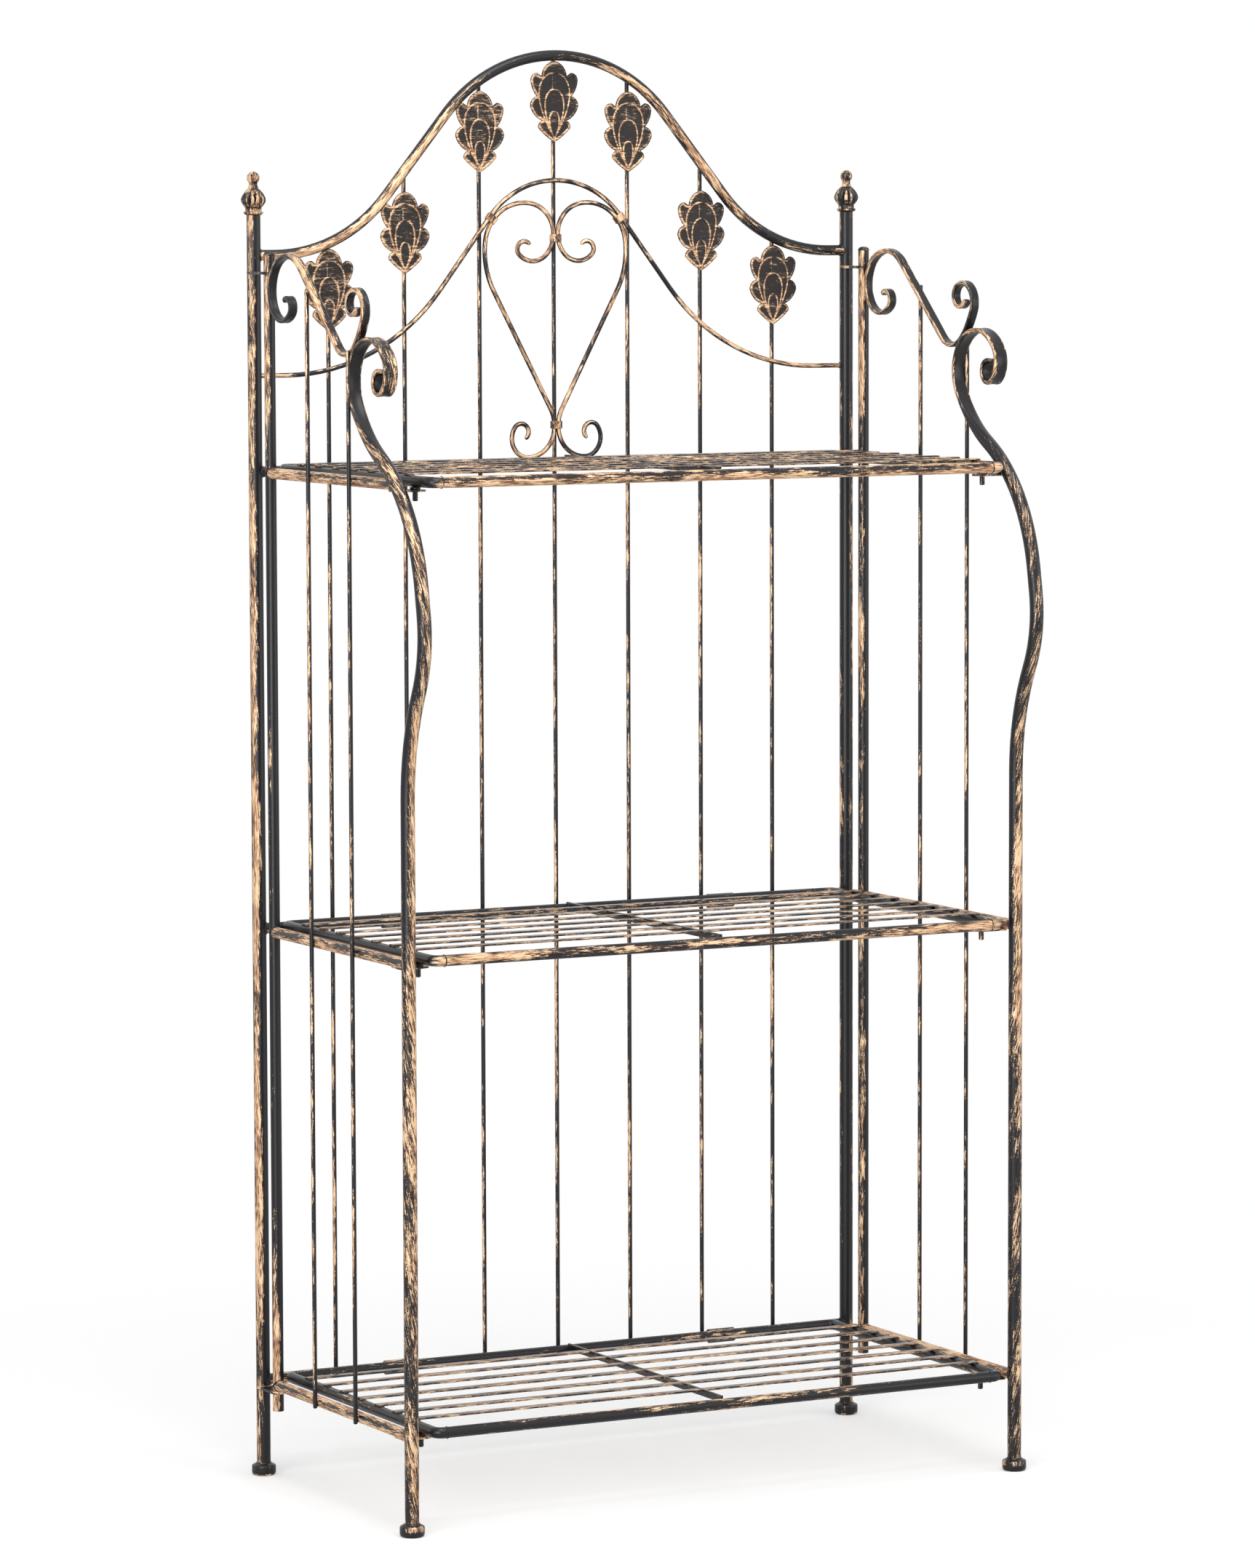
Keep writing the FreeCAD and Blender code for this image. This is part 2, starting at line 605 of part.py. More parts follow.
leg_outer = {}
leg_wires = {}
for side, sign in SIDES:
    plane = along_the_side(sign * size("half_width"))
    leg_wires[side] = wire_in(plane, leg_path)
    lower, turning, upper = (wire_in(plane, part) for part in (stem_path, nape_path, curl_path))
    round_tube = round_section("post_diameter")
    flat_tube = ("sizes.scroll_width / 2", "sizes.scroll_thickness / 2")
    stem = swept(f"leg_{side}_stem", lower, ACROSS, round_tube)
    squeezed = swept(f"leg_{side}_squeezed", turning, ACROSS, round_tube, flat_tube)
    scroll = swept(f"leg_{side}_scroll", upper, ACROSS, flat_tube)
    leg_outer[side] = joined(f"leg_{side}_outside", [stem, squeezed, scroll])
    bore = swept(f"leg_{side}_bore", lower, ACROSS, round_section("post_diameter", "post_wall"))
    keep(f"front_leg_{side}", cut(f"leg_{side}", leg_outer[side], bore))


# ------------------------------------------------------- side panels: scrolls

BAR_UP = (("back", -58.2), ("crown", -74.1))
BAR_FRONT = (("valley", 86.8), ("rise", 20.0), ("curl", 153.1), ("end", 211.7))
BAR_DOWN = (("back", 5.0), ("hollow", 125.2), ("tip", 195.9))
bar_offset = tube_radius - size("bar_width") / 2


def bar_path(run):
    """Scroll bar's line: its back rests on the rear tube and the run is its straight slope."""
    standing_off = tube_radius + size("bar_thickness") / 2
    contact = (size("rear_tube_forward") + standing_off, rear_top - size("bar_drop"))
    down = bends("bar", BAR_DOWN)
    _, tip, heading = bent(contact, -90, down)
    back_up = [(radius, -turn) for radius, turn in reversed(down)]
    return bent(tip, heading + 180, [*back_up, *bends("bar", BAR_UP), (run,), *bends("bar", BAR_FRONT)])[0]


def bar_gap(run):
    side_line = wire_in(along_the_side(0), bar_path(run))
    return side_line.distToShape(wire_in(along_the_side(0), leg_path))[0]


bar_run = settle(bar_gap, (size("bar_thickness") + size("scroll_thickness")) / 2,
                 0, size("leg_forward") - size("rear_tube_forward"))
bar_wires = {}
for side, sign in SIDES:
    plane = along_the_side(sign * (size("half_width") + bar_offset))
    bar_wires[side] = wire_in(plane, bar_path(bar_run))
    keep(f"scroll_bar_{side}", swept(f"scroll_bar_{side}_strip", bar_wires[side], ACROSS,
                                     ("sizes.bar_width / 2", "sizes.bar_thickness / 2")))


# --------------------------------------------------- side panels: bars, rods

for side, sign in SIDES:
    across = sign * size("half_width")
    bars = []
    for tier, height in zip(TIERS, tier_heights):
        front = crossing_forward(leg_wires[side], across, height)
        ends = (place(across, size("rear_tube_forward"), height), place(across, front, height))
        outside = rod_along(*ends, "tube_diameter", f"side_bar_{side}_{tier}_outside")
        bore = rod_along(*ends, "tube_diameter", f"side_bar_{side}_{tier}_bore", "tube_wall")
        bars.append(cut(f"side_bar_{side}_{tier}", outside, bore, rear_outer[side], leg_outer[side]))
    group(f"side_bars_{side}", bars)

    rods = []
    rod_across = sign * (size("half_width") + tube_radius + rod_radius)
    for name in ("first", "second"):
        forward = size(f"side_rod_{name}")
        bar_across = sign * (size("half_width") + bar_offset)
        top = crossing_height(bar_wires[side], bar_across, forward, tier_heights[-1], rear_top)
        foot = place(rod_across, forward, tier_heights[0] - tube_radius)
        rod = rod_along(foot, place(rod_across, forward, top), "rod_diameter", f"side_rod_{side}_{name}")
        rods.append(cut(f"side_rod_{side}_{name}_notched", rod, leg_outer[side]))
    group(f"side_rods_{side}", rods)


# -------------------------------------------------------- plates with a hole

def round_ended_plate(label, reach, width, hole, thickness):
    """Flat plate from (0, 0) along x to a round end with a hole in it, its sizes given as expressions."""
    body = doc.addObject("PartDesign::Body", label)
    outline = body.newObject("Sketcher::SketchObject", label + "_outline")
    flat = [plane for plane in body.Origin.OriginFeatures if plane.Role == "XY_Plane"][0]
    outline.AttachmentSupport = (flat, [""])
    outline.MapMode = "FlatFace"
    bound = {"reach": reach, "end": f"({width}) / 2", "hole": f"({hole}) / 2"}
    far, half, bore = (float(outline.evalExpression(rule)) for rule in bound.values())
    centre, top, lower = Vector(far, 0, 0), Vector(0, half, 0), Vector(0, -half, 0)
    outline.addGeometry(Part.LineSegment(top, Vector(far, half, 0)), False)
    end = Part.Circle(centre, UP, half)
    outline.addGeometry(Part.ArcOfCircle(end, -math.pi / 2, math.pi / 2), False)
    outline.addGeometry(Part.LineSegment(Vector(far, -half, 0), lower), False)
    outline.addGeometry(Part.LineSegment(lower, top), False)
    outline.addGeometry(Part.Circle(centre, UP, bore), False)
    straight, arc, back, root, eye = range(5)
    rules = (("Tangent", straight, 2, arc, 2), ("Tangent", arc, 1, back, 1),
             ("Coincident", back, 2, root, 1), ("Coincident", root, 2, straight, 1),
             ("Horizontal", straight), ("Horizontal", back), ("Vertical", root),
             ("Coincident", eye, 3, arc, 3), ("PointOnObject", arc, 3, -1), ("PointOnObject", root, 1, -2))
    for rule in rules:
        outline.addConstraint(Sketcher.Constraint(*rule))
    for name, constraint in (("reach", ("DistanceX", -1, 1, arc, 3, far)), ("end", ("Radius", arc, half)),
                             ("hole", ("Radius", eye, bore))):
        outline.renameConstraint(outline.addConstraint(Sketcher.Constraint(*constraint)), name)
        outline.setExpression(f"Constraints.{name}", bound[name])
    pad = body.newObject("PartDesign::Pad", label + "_pad")
    pad.Profile = outline
    pad.setExpression("Length", thickness)
    return body


INWARD = {"left": Rotation(), "right": Rotation(Vector(0, 0, 1), 180)}
FORWARD = Rotation(Vector(0, 0, 1), -90)
plate_heights = (tier_heights[0] - tube_radius - size("plate_thickness"),
                 rear_top - size("plate_drop") - size("plate_thickness") / 2)
for side, sign in SIDES:
    plates = []
    for level, height in zip(("lower", "upper"), plate_heights):
        name = f"hinge_plate_{side}_{level}"
        plate = round_ended_plate(name, "sizes.rear_tube_forward", "sizes.plate_width",
                                  "sizes.tube_diameter + 2 * sizes.turning_gap", "sizes.plate_thickness")
        plate.Placement = Placement(place(sign * size("half_width"), 0, height), FORWARD)
        plates.append(cut(name + "_notched", plate, post_outer[side]))
    group(f"hinge_plates_{side}", plates)

    tabs = []
    for tier, height in zip(TIERS, tier_heights):
        name = f"tab_{side}_{tier}"
        tab = round_ended_plate(name, "sizes.rail_inset", "sizes.tab_width", "sizes.tab_hole",
                                "sizes.tab_thickness")
        under_bar = place(sign * size("half_width"), size("pin_forward"),
                          height - tube_radius - size("tab_thickness"))
        tab.Placement = Placement(under_bar, INWARD[side])
        tabs.append(cut(name + "_notched", tab, leg_outer[side]))
    group(f"shelf_tabs_{side}", tabs)


# ------------------------------------------------------------------- shelves

sleeve_radius = tube_radius + size("turning_gap") + size("sleeve_wall")
shelf_rise = size("pin_collar_height")
rear_forward = math.sqrt((tube_radius + sleeve_radius) ** 2 - shelf_rise ** 2)
rail_across = size("half_width") - size("rail_inset")
sleeve_start = 2 * size("rod_pitch") + size("sleeve_rod_gap")


def shelf_frame(tier, height):
    """One tube bent round four corners and welded shut behind."""
    corner = size("corner_radius")
    half, depth = rail_across - corner, size("shelf_forward") - rear_forward - 2 * corner
    turn = (corner, 90)
    loop = bent((0, rear_forward), 0, [(half,), turn, (depth,), turn, (2 * half,), turn, (depth,), turn,
                                       (half,)])[0]
    line = wire_in(lambda a, b: place(a, b, height), loop)
    outside = swept(f"shelf_{tier}_tube", line, UP, round_section("tube_diameter"))
    bore = swept(f"shelf_{tier}_bore", line, UP, round_section("tube_diameter", "tube_wall"))
    keep(f"shelf_{tier}_frame", cut(f"shelf_{tier}_hollow", outside, bore))


def slatted_top(tier, height):
    """Flat slats across the rails, and the batten that carries their middles."""
    crest = height + tube_radius
    middle = (size("shelf_forward") + rear_forward) / 2
    end = rail_across + size("slat_overhang")
    slats = []
    for number in range(SLATS):
        slat = doc.addObject("Part::Box", f"shelf_{tier}_slat_{number + 1}")
        slat.Length = 2 * end
        slat.setExpression("Width", "sizes.slat_width")
        slat.setExpression("Height", "sizes.slat_thickness")
        forward = middle + (number - (SLATS - 1) / 2) * size("slat_pitch")
        slat.Placement.Base = place(-end, forward + size("slat_width") / 2, crest)
        slats.append(slat)
    group(f"shelf_{tier}_slats", slats)
    under = tube_radius - size("batten_thickness")
    from_axis = math.sqrt(tube_radius ** 2 - under ** 2)
    batten = doc.addObject("Part::Box", f"shelf_{tier}_batten_strip")
    batten.setExpression("Length", "sizes.batten_width")
    batten.Width = size("shelf_forward") - rear_forward - 2 * from_axis
    batten.setExpression("Height", "sizes.batten_thickness")
    batten.Placement.Base = place(-size("batten_width") / 2, size("shelf_forward") - from_axis,
                                  crest - size("batten_thickness"))
    keep(f"shelf_{tier}_batten", batten)


def shelf_pins(tier, height):
    """Pin under each rail, through its collar; the collar rests on the tab."""
    pins = []
    for side, sign in SIDES:
        seat = height - shelf_rise - tube_radius
        tip = place(sign * rail_across, size("pin_forward"), height - shelf_rise - size("pin_drop"))
        top = place(sign * rail_across, size("pin_forward"), height - tube_radius)
        shaft = rod_along(tip, top, "pin_diameter", f"pin_{tier}_{side}_shaft")
        collar = doc.addObject("Part::Cylinder", f"pin_{tier}_{side}_collar")
        collar.setExpression("Radius", "sizes.pin_collar_diameter / 2")
        collar.setExpression("Height", "sizes.pin_collar_height")
        collar.Placement.Base = place(sign * rail_across, size("pin_forward"), seat)
        pins.append(joined(f"pin_{tier}_{side}", [shaft, collar]))
    group(f"shelf_{tier}_pins", pins)


def hinge_sleeves(tier, height):
    """Short sleeves that turn on the crossbar and are welded to the shelf's rear tube."""
    sleeves = []
    for side, sign in SIDES:
        start = place(sign * sleeve_start, 0, height - shelf_rise)
        end = place(sign * (sleeve_start + size("sleeve_length")), 0, height - shelf_rise)
        outside = rod_along(start, end, "tube_diameter", f"sleeve_{tier}_{side}_outside")
        outside.setExpression("Radius", "sizes.tube_diameter / 2 + sizes.turning_gap + sizes.sleeve_wall")
        bore = rod_along(start, end, "tube_diameter", f"sleeve_{tier}_{side}_bore")
        bore.setExpression("Radius", "sizes.tube_diameter / 2 + sizes.turning_gap")
        sleeves.append(cut(f"sleeve_{tier}_{side}", outside, bore))
    group(f"shelf_{tier}_sleeves", sleeves)


for tier, height in zip(TIERS, tier_heights):
    shelf_frame(tier, height + shelf_rise)
    slatted_top(tier, height + shelf_rise)
    shelf_pins(tier, height + shelf_rise)
    hinge_sleeves(tier, height + shelf_rise)


# ------------------------------------------------------- check and write out

doc.recompute()
failed = [thing.Label for thing in doc.Objects if {"Invalid", "Error"} & set(thing.State)]
if failed:
    raise RuntimeError(f"objects that failed: {failed}")
for label, piece in pieces.items():
    if piece.Shape.isNull() or not piece.Shape.isValid() or not piece.Shape.Solids:
        raise RuntimeError(f"{label} has no sound solid")
os.makedirs("parts", exist_ok=True)
for label, piece in pieces.items():
    piece.Shape.exportStep(f"parts/{label}.step")
print(f"{len(pieces)} pieces; back posts {back_line:.2f} behind the origin; heart scale {heart_scale:.1f}; "
      f"scroll bar's run {bar_run:.1f}; belly reaches {leg_reach:.1f}")
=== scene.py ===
"""Baker's rack in bent steel tube, dressed for rendering. Lengths are in millimetres until a mesh is made."""
import math

import bmesh
import bpy
import numpy as np
from mathutils import Matrix, Vector


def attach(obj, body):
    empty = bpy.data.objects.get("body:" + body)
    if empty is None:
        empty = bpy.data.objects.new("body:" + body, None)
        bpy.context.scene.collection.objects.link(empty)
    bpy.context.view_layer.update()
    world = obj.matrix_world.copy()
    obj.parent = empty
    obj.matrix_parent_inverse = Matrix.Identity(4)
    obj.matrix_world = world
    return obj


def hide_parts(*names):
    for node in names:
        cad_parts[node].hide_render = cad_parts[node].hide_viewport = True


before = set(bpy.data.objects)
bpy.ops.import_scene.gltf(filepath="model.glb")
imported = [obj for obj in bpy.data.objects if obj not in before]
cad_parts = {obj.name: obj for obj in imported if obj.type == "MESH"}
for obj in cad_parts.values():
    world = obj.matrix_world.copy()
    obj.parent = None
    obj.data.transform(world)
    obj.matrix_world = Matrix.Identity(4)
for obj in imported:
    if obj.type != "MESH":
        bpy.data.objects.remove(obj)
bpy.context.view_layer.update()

# ---------------------------------------------------------------- back posts
# Two straight 16 mm steel tubes, saw-cut and degreased. Like the whole rack they are sprayed with a satin
# black enamel and then dragged over by hand with a nearly dry brush of gold paint.

BACK_LINE = 217.549
HALF_WIDTH = 390.0
POST_RADIUS = 8.0
POST_TOP = 1462.5
FOOT_FLOOR = 4.0
SIDES = (("left", -1), ("right", 1))


def linear(hex_colour):
    """sRGB hex to linear: c/12.92 below 0.04045, else ((c + 0.055) / 1.055) to the power 2.4."""
    srgb = np.array([int(hex_colour[i:i + 2], 16) for i in (1, 3, 5)]) / 255.0
    return (*np.where(srgb <= 0.04045, srgb / 12.92, ((srgb + 0.055) / 1.055) ** 2.4).tolist(), 1.0)


def node(tree, kind, settings=None, **links):
    """Adds a node; settings are its properties, links its inputs by name, as a socket or a value."""
    made = tree.nodes.new(kind)
    for name, value in (settings or {}).items():
        setattr(made, name, value)
    for name, value in links.items():
        key = int(name[1:]) if name[1:].isdigit() else name.replace("_", " ")
        if isinstance(value, bpy.types.NodeSocket):
            tree.links.new(value, made.inputs[key])
        else:
            made.inputs[key].default_value = value
    return made


# Brush marks as (mm along, mm across, weight): broad streaks, strokes, bristle lines and specks. Real bristle
# lines are about 0.3 mm wide; these are drawn a millimetre wide, so that they show.
DRY_BRUSH = ((220.0, 13.0, 0.9), (42.0, 9.0, 0.5), (12.0, 1.1, 0.6), (1.7, 1.3, 0.3))
THIN_GOLD = ((0.35, "#2A211F"), (0.7, "#59412F"), (1.0, "#7C5A40"))
FULL_GOLD = ((1.05, "#7C563F"), (1.24, "#B78A66"), (1.40, "#EECAA2"))
COVERED_FROM = 0.58


def brushed_enamel(name, marks=DRY_BRUSH, even_share=None, gloss=0.3, edge=0.08, dark="#141216"):
    """Satin enamel with dragged gold paint.

    Gold covers where the piece's own share of gold plus the weighted marks passes a threshold, and over the
    edge's width it is thin and brown. A piece with an even share has its marks on object coordinates, the
    others on their own straightened ones. Gold is duller than enamel, a little metallic, and 0.15 mm thick.
    """
    paint = bpy.data.materials.new(name)
    paint.use_nodes = True
    tree = paint.node_tree
    shader = tree.nodes["Principled BSDF"]
    if even_share is None:
        place = node(tree, "ShaderNodeAttribute", {"attribute_name": "straight"}).outputs["Vector"]
        total = node(tree, "ShaderNodeAttribute", {"attribute_name": "gold"}).outputs["Fac"]
    else:
        place, total = node(tree, "ShaderNodeTexCoord").outputs["Object"], even_share
    layers = []
    for along, across, weight in marks:
        fineness = (1000 / along, 1000 / across, 1000 / across)
        scaled = node(tree, "ShaderNodeMapping", Vector=place, Scale=fineness)
        layers.append(node(tree, "ShaderNodeTexNoise", Vector=scaled.outputs[0], Scale=1.0, Detail=2.0,
                           Roughness=0.55).outputs[0])
        total = node(tree, "ShaderNodeMath", {"operation": "MULTIPLY_ADD"}, _0=layers[-1], _1=weight,
                     _2=total).outputs[0]
    middle = COVERED_FROM + 0.5 * sum(weight for _, _, weight in marks)
    cover = node(tree, "ShaderNodeMapRange", Value=total, From_Min=middle - edge,
                 From_Max=middle + edge).outputs[0]
    tone = node(tree, "ShaderNodeMath", {"operation": "MULTIPLY_ADD"}, _0=layers[2], _1=1.5,
                _2=layers[1]).outputs[0]
    ramps = []
    for value, stops in ((cover, ((0.0, dark), *THIN_GOLD)), (tone, FULL_GOLD)):
        low, high = stops[0][0], stops[-1][0]
        if low:
            value = node(tree, "ShaderNodeMapRange", Value=value, From_Min=low, From_Max=high).outputs[0]
        ramp = node(tree, "ShaderNodeValToRGB", Fac=value)
        elements = ramp.color_ramp.elements
        for index, (position, colour) in enumerate(stops):
            stop = elements[index] if index < 2 else elements.new(1.0)
            stop.position = (position - low) / (high - low)
            stop.color = linear(colour)
        ramps.append(ramp.outputs[0])
    thick = node(tree, "ShaderNodeMapRange", Value=cover, From_Min=0.3, From_Max=1.0).outputs[0]
    colour = node(tree, "ShaderNodeMix", {"data_type": "RGBA"}, _0=thick, _6=ramps[0], _7=ramps[1])
    tree.links.new(colour.outputs[2], shader.inputs["Base Color"])
    for socket, bare, painted in (("Roughness", gloss, 0.45), ("Metallic", 0.0, 0.3),
                                  ("Specular IOR Level", 0.4, 0.5)):
        spread = node(tree, "ShaderNodeMapRange", Value=cover, To_Min=bare, To_Max=painted)
        tree.links.new(spread.outputs[0], shader.inputs[socket])
    height = node(tree, "ShaderNodeMath", {"operation": "MULTIPLY_ADD"}, _0=cover, _1=0.6, _2=layers[3])
    bump = node(tree, "ShaderNodeBump", Height=height.outputs[0], Strength=0.5, Distance=0.00015)
    tree.links.new(bump.outputs[0], shader.inputs["Normal"])
    return paint


# Long dragged streaks that wind round the tube, with fine bristle lines at their ragged edges.
tube_enamel = brushed_enamel("dry_brushed_tube_enamel")


def at(across, forward, height):
    """A place given from the rack's middle, its back posts and the floor."""
    return np.array([across, BACK_LINE - forward, height])


def ring_of(radius, count=28):
    """Circle as (side, across) pairs."""
    turn = np.linspace(0, 2 * math.pi, count, endpoint=False)
    return radius * np.stack([np.cos(turn), np.sin(turn)], 1)


def straight_run(distances):
    """Straight line with a point at each distance, as points and headings."""
    return np.stack([distances, 0 * distances], 1), 0 * distances


def run_along(points):
    """Distance of each point from the first, along the line."""
    return np.concatenate([[0], np.cumsum(np.linalg.norm(np.diff(points, axis=0), axis=1))])


def touched_share(gold, lean, reach):
    """Share of gold: the larger of gold + lean, where the brush faced, and gold - lean - 0.25 * reach."""
    return gold + np.maximum(lean, -lean - 0.25 * reach)


# The brush was held towards the rack's front left, so most pieces took the gold on that side. That lean is also
# partly painted light: the side lit by the key lamp carries more gold, and the far side, in shade, carries
# less.
FRONT_LEFT = np.array([-0.85, -0.53, 0.0])
# Each piece's marks are taken this many mm further along the pattern, times its seed.
SEED_STEP = np.array([977.0, 131.0, 59.0])


def carried(line, plane, origin, section, seed=0.0, twist=0.0, gold=0.5, stripe=(0, 0, 0), closed=False):
    """A section carried along a flat line: point = line + side * s0 + across * s1.

    The coordinates of the straightened piece go with it, so that brush marks follow a bend; twist, in radians
    per mm, winds them round the piece. The share of gold leans by the outward direction times stripe.
    """
    points, angles = line
    first, second = plane
    across = np.cross(first, second)
    along = np.cos(angles)[:, None] * first + np.sin(angles)[:, None] * second
    side = np.cross(across, along)
    centre = origin + points[:, :1] * first + points[:, 1:] * second
    section = np.broadcast_to(section, (len(points),) + section.shape[-2:])
    rings = centre[:, None] + section[..., :1] * side[:, None] + section[..., 1:] * across
    distance = run_along(points)
    wind = twist * distance[:, None]
    wound = (section[..., 0] * np.cos(wind) - section[..., 1] * np.sin(wind),
             section[..., 0] * np.sin(wind) + section[..., 1] * np.cos(wind))
    straight = np.stack([np.broadcast_to(distance[:, None], rings.shape[:2]), *wound], -1)
    straight = straight + SEED_STEP * seed
    outward = rings - centre[:, None]
    outward = outward / np.maximum(np.linalg.norm(outward, axis=-1, keepdims=True), 1e-9)
    stripe = np.broadcast_to(stripe, (len(points), 3))[:, None]
    share = touched_share(gold, (outward * stripe).sum(-1), np.linalg.norm(stripe, axis=-1))
    return rings, straight, np.broadcast_to(share, rings.shape[:2]), closed


def bar(start, end, section, steps=1, **options):
    """A section carried along a straight line between two places, in steps."""
    span = end - start
    length = np.linalg.norm(span)
    first = span / length
    second = np.cross([0, 1.0, 0], first) if abs(first[1]) < 0.9 else np.array([0, 0, 1.0])
    plane = (first, second / np.linalg.norm(second))
    return carried(straight_run(np.linspace(0, length, steps + 1)), plane, start, section, **options)


def piece(name, shells, paint, body, *stands_for, finish="tube_paint", crease=40):
    """Makes one mesh from shells of rings, faces outwards, and hands it to its body.

    A shell's last member says how it ends: True for a loop, False for capped ends, None for ends that already
    meet, whose doubled corners are merged. A shell whose volume comes out negative is turned inside out.
    """
    corners, faces, straight, gold = [], [], [], []
    base = 0
    for rings, unrolled, share, closed in shells:
        count, around = rings.shape[:2]
        index = base + np.arange(count * around).reshape(count, around)
        lower = index if closed else index[:-1]
        upper = np.roll(index, -1, 0) if closed else index[1:]
        quads = np.stack([lower, np.roll(lower, -1, 1), np.roll(upper, -1, 1), upper], -1).reshape(-1, 4)
        rows = quads.tolist() + ([index[0, ::-1].tolist(), index[-1].tolist()] if closed is False else [])
        p, q, r, s = (rings.reshape(-1, 3)[quads[:, k] - base] for k in range(4))
        volume = np.sum(np.cross(r - p, s - q) * (p + q + r + s)) / 24
        if closed is False:
            for cap in (rings[0, ::-1], rings[-1]):
                volume += np.sum(np.cross(cap, np.roll(cap, -1, 0)).sum(0) * cap.mean(0)) / 6
        faces += rows if volume > 0 else [row[::-1] for row in rows]
        corners.append(rings.reshape(-1, 3))
        straight.append(unrolled.reshape(-1, 3))
        gold.append(share.reshape(-1))
        base += count * around
    mesh = bpy.data.meshes.new(name)
    mesh.from_pydata((np.concatenate(corners) / 1000).tolist(), [], faces)
    mesh.attributes.new("straight", "FLOAT_VECTOR", "POINT").data.foreach_set(
        "vector", (np.concatenate(straight) / 1000).astype(np.float32).ravel())
    mesh.attributes.new("gold", "FLOAT", "POINT").data.foreach_set(
        "value", np.concatenate(gold).astype(np.float32))
    if any(shell[3] is None for shell in shells):
        merged = bmesh.new()
        merged.from_mesh(mesh)
        bmesh.ops.remove_doubles(merged, verts=merged.verts, dist=2e-6)
        merged.to_mesh(mesh)
        merged.free()
    mesh.polygons.foreach_set("use_smooth", np.ones(len(mesh.polygons), bool))
    mesh.set_sharp_from_angle(angle=math.radians(crease))
    mesh.materials.append(paint)
    made = bpy.data.objects.new(name, mesh)
    bpy.context.scene.collection.objects.link(made)
    if stands_for:
        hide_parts(*stands_for)
    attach(made, body)


# Share of gold and how it leans, for each post; the brush ran dry below 320 mm. The left post's lean of gold to
# the front left is partly painted light, its lit side.
POST_PAINT = ((-0.10, FRONT_LEFT * 0.80), (0.30, np.array([0.28, -0.10, 0])))
DRY_HEIGHTS = (120, 320)
for (side, sign), (share, stripe) in zip(SIDES, POST_PAINT):
    foot, head = at(sign * HALF_WIDTH, 0, FOOT_FLOOR), at(sign * HALF_WIDTH, 0, POST_TOP)
    fading = np.interp(np.linspace(FOOT_FLOOR, POST_TOP, 13), DRY_HEIGHTS, (share - 0.1, share))[:, None]
    post = bar(foot, head, ring_of(POST_RADIUS), 12, seed=1 + sign, gold=fading, stripe=stripe, twist=0.003)
    piece(f"post_tube_{side}", [post], tube_enamel, "frame", f"back_post_{side}")


# ---------------------------------------------------------------------- feet
# Pressed steel caps over the lower ends of the posts and legs: a flat sole, an upright rim and a flare that
# grips the tube. The brush caught the soles of the posts' feet and the rims of the legs' feet.

FOOT_PROFILE = ((0.4, 0), (11.2, 0), (12.6, 0.7), (13.6, 2.0), (14.0, 3.6), (14.0, 5.4), (14.0, 7.2),
                (14.0, 9.0), (14.0, 10.6), (13.5, 11.8), (12.2, 12.6), (10.7, 13.1), (9.5, 13.9), (8.8, 14.9),
                (7.9, 14.9))
LEG_FORWARD = 396.0
FEET = (("post_foot", 0.0, (0.0, 2.5)), ("leg_foot", LEG_FORWARD, (7.0, 13.0)))


def turned(profile, centre, around=40, flutes=None, seed=0.0, gold=0.5, stripe=(0, 0)):
    """A profile of (radius, height) turned about an upright axis, its radius scaled by flutes(height, turn).

    The share of gold leans by the outward direction times stripe.
    """
    radius, height = np.array(profile, float).T[:, :, None]
    turn = np.linspace(0, 2 * math.pi, around, endpoint=False)[None]
    radius = radius * (flutes(height, turn) if flutes else 1.0)
    offset = np.stack([radius * np.cos(turn), radius * np.sin(turn), height + 0 * turn], -1)
    straight = offset[..., [2, 0, 1]] + SEED_STEP * seed
    share = touched_share(gold, stripe[0] * np.cos(turn) + stripe[1] * np.sin(turn), math.hypot(*stripe))
    return centre + offset, straight, np.broadcast_to(share, offset.shape[:2]), False


for side, sign in SIDES:
    for name, forward, (low, high) in FEET:
        caught = np.array([0.52 if low <= height <= high else 0.33 for _, height in FOOT_PROFILE])[:, None]
        cap = turned(FOOT_PROFILE, at(sign * HALF_WIDTH, forward, 0), seed=3 + sign + forward / 99, gold=caught)
        piece(f"{name}_cap_{side}", [cap], tube_enamel, "frame", f"{name}_{side}", finish="casting_paint")


# ------------------------------------------------------------------- finials
# Cast finials plugged into the back posts: a dished lip, a collar, a melon bulb with twelve ribs, a neck and
# a ball. The brush left gold on the ribs, the lip and the ball, none in the grooves.

RIBS = 12
GROOVE_DEPTH = 0.17
FINIAL_FOOT = ((7.9, -0.7), (8.8, -0.5), (9.9, 0.1), (11.0, 1.0), (11.4, 1.9), (11.2, 2.7), (10.2, 3.4),
               (9.3, 4.0), (9.2, 4.6), (9.5, 5.4), (9.5, 6.6), (9.2, 7.3), (9.3, 7.9))
BULB = ((10.3, 8.6), (11.4, 10.1), (12.6, 11.8), (13.7, 13.5), (14.2, 15.2), (14.4, 16.5), (14.3, 17.9),
        (13.9, 19.4), (13.1, 21.1), (12.2, 22.8), (11.1, 24.4), (9.7, 26.1), (8.1, 27.8), (6.6, 29.2))
BULB_FOOT, BULB_TOP = BULB[0][1], BULB[-1][1]
FINIAL_NECK = ((5.7, 29.8), (5.6, 30.6), (5.7, 31.6), (5.2, 32.6), (4.8, 33.6), (4.7, 34.8), (5.1, 35.8))
BALL_RADIUS, BALL_HEIGHT = 7.3, 41.8
AROUND = 120


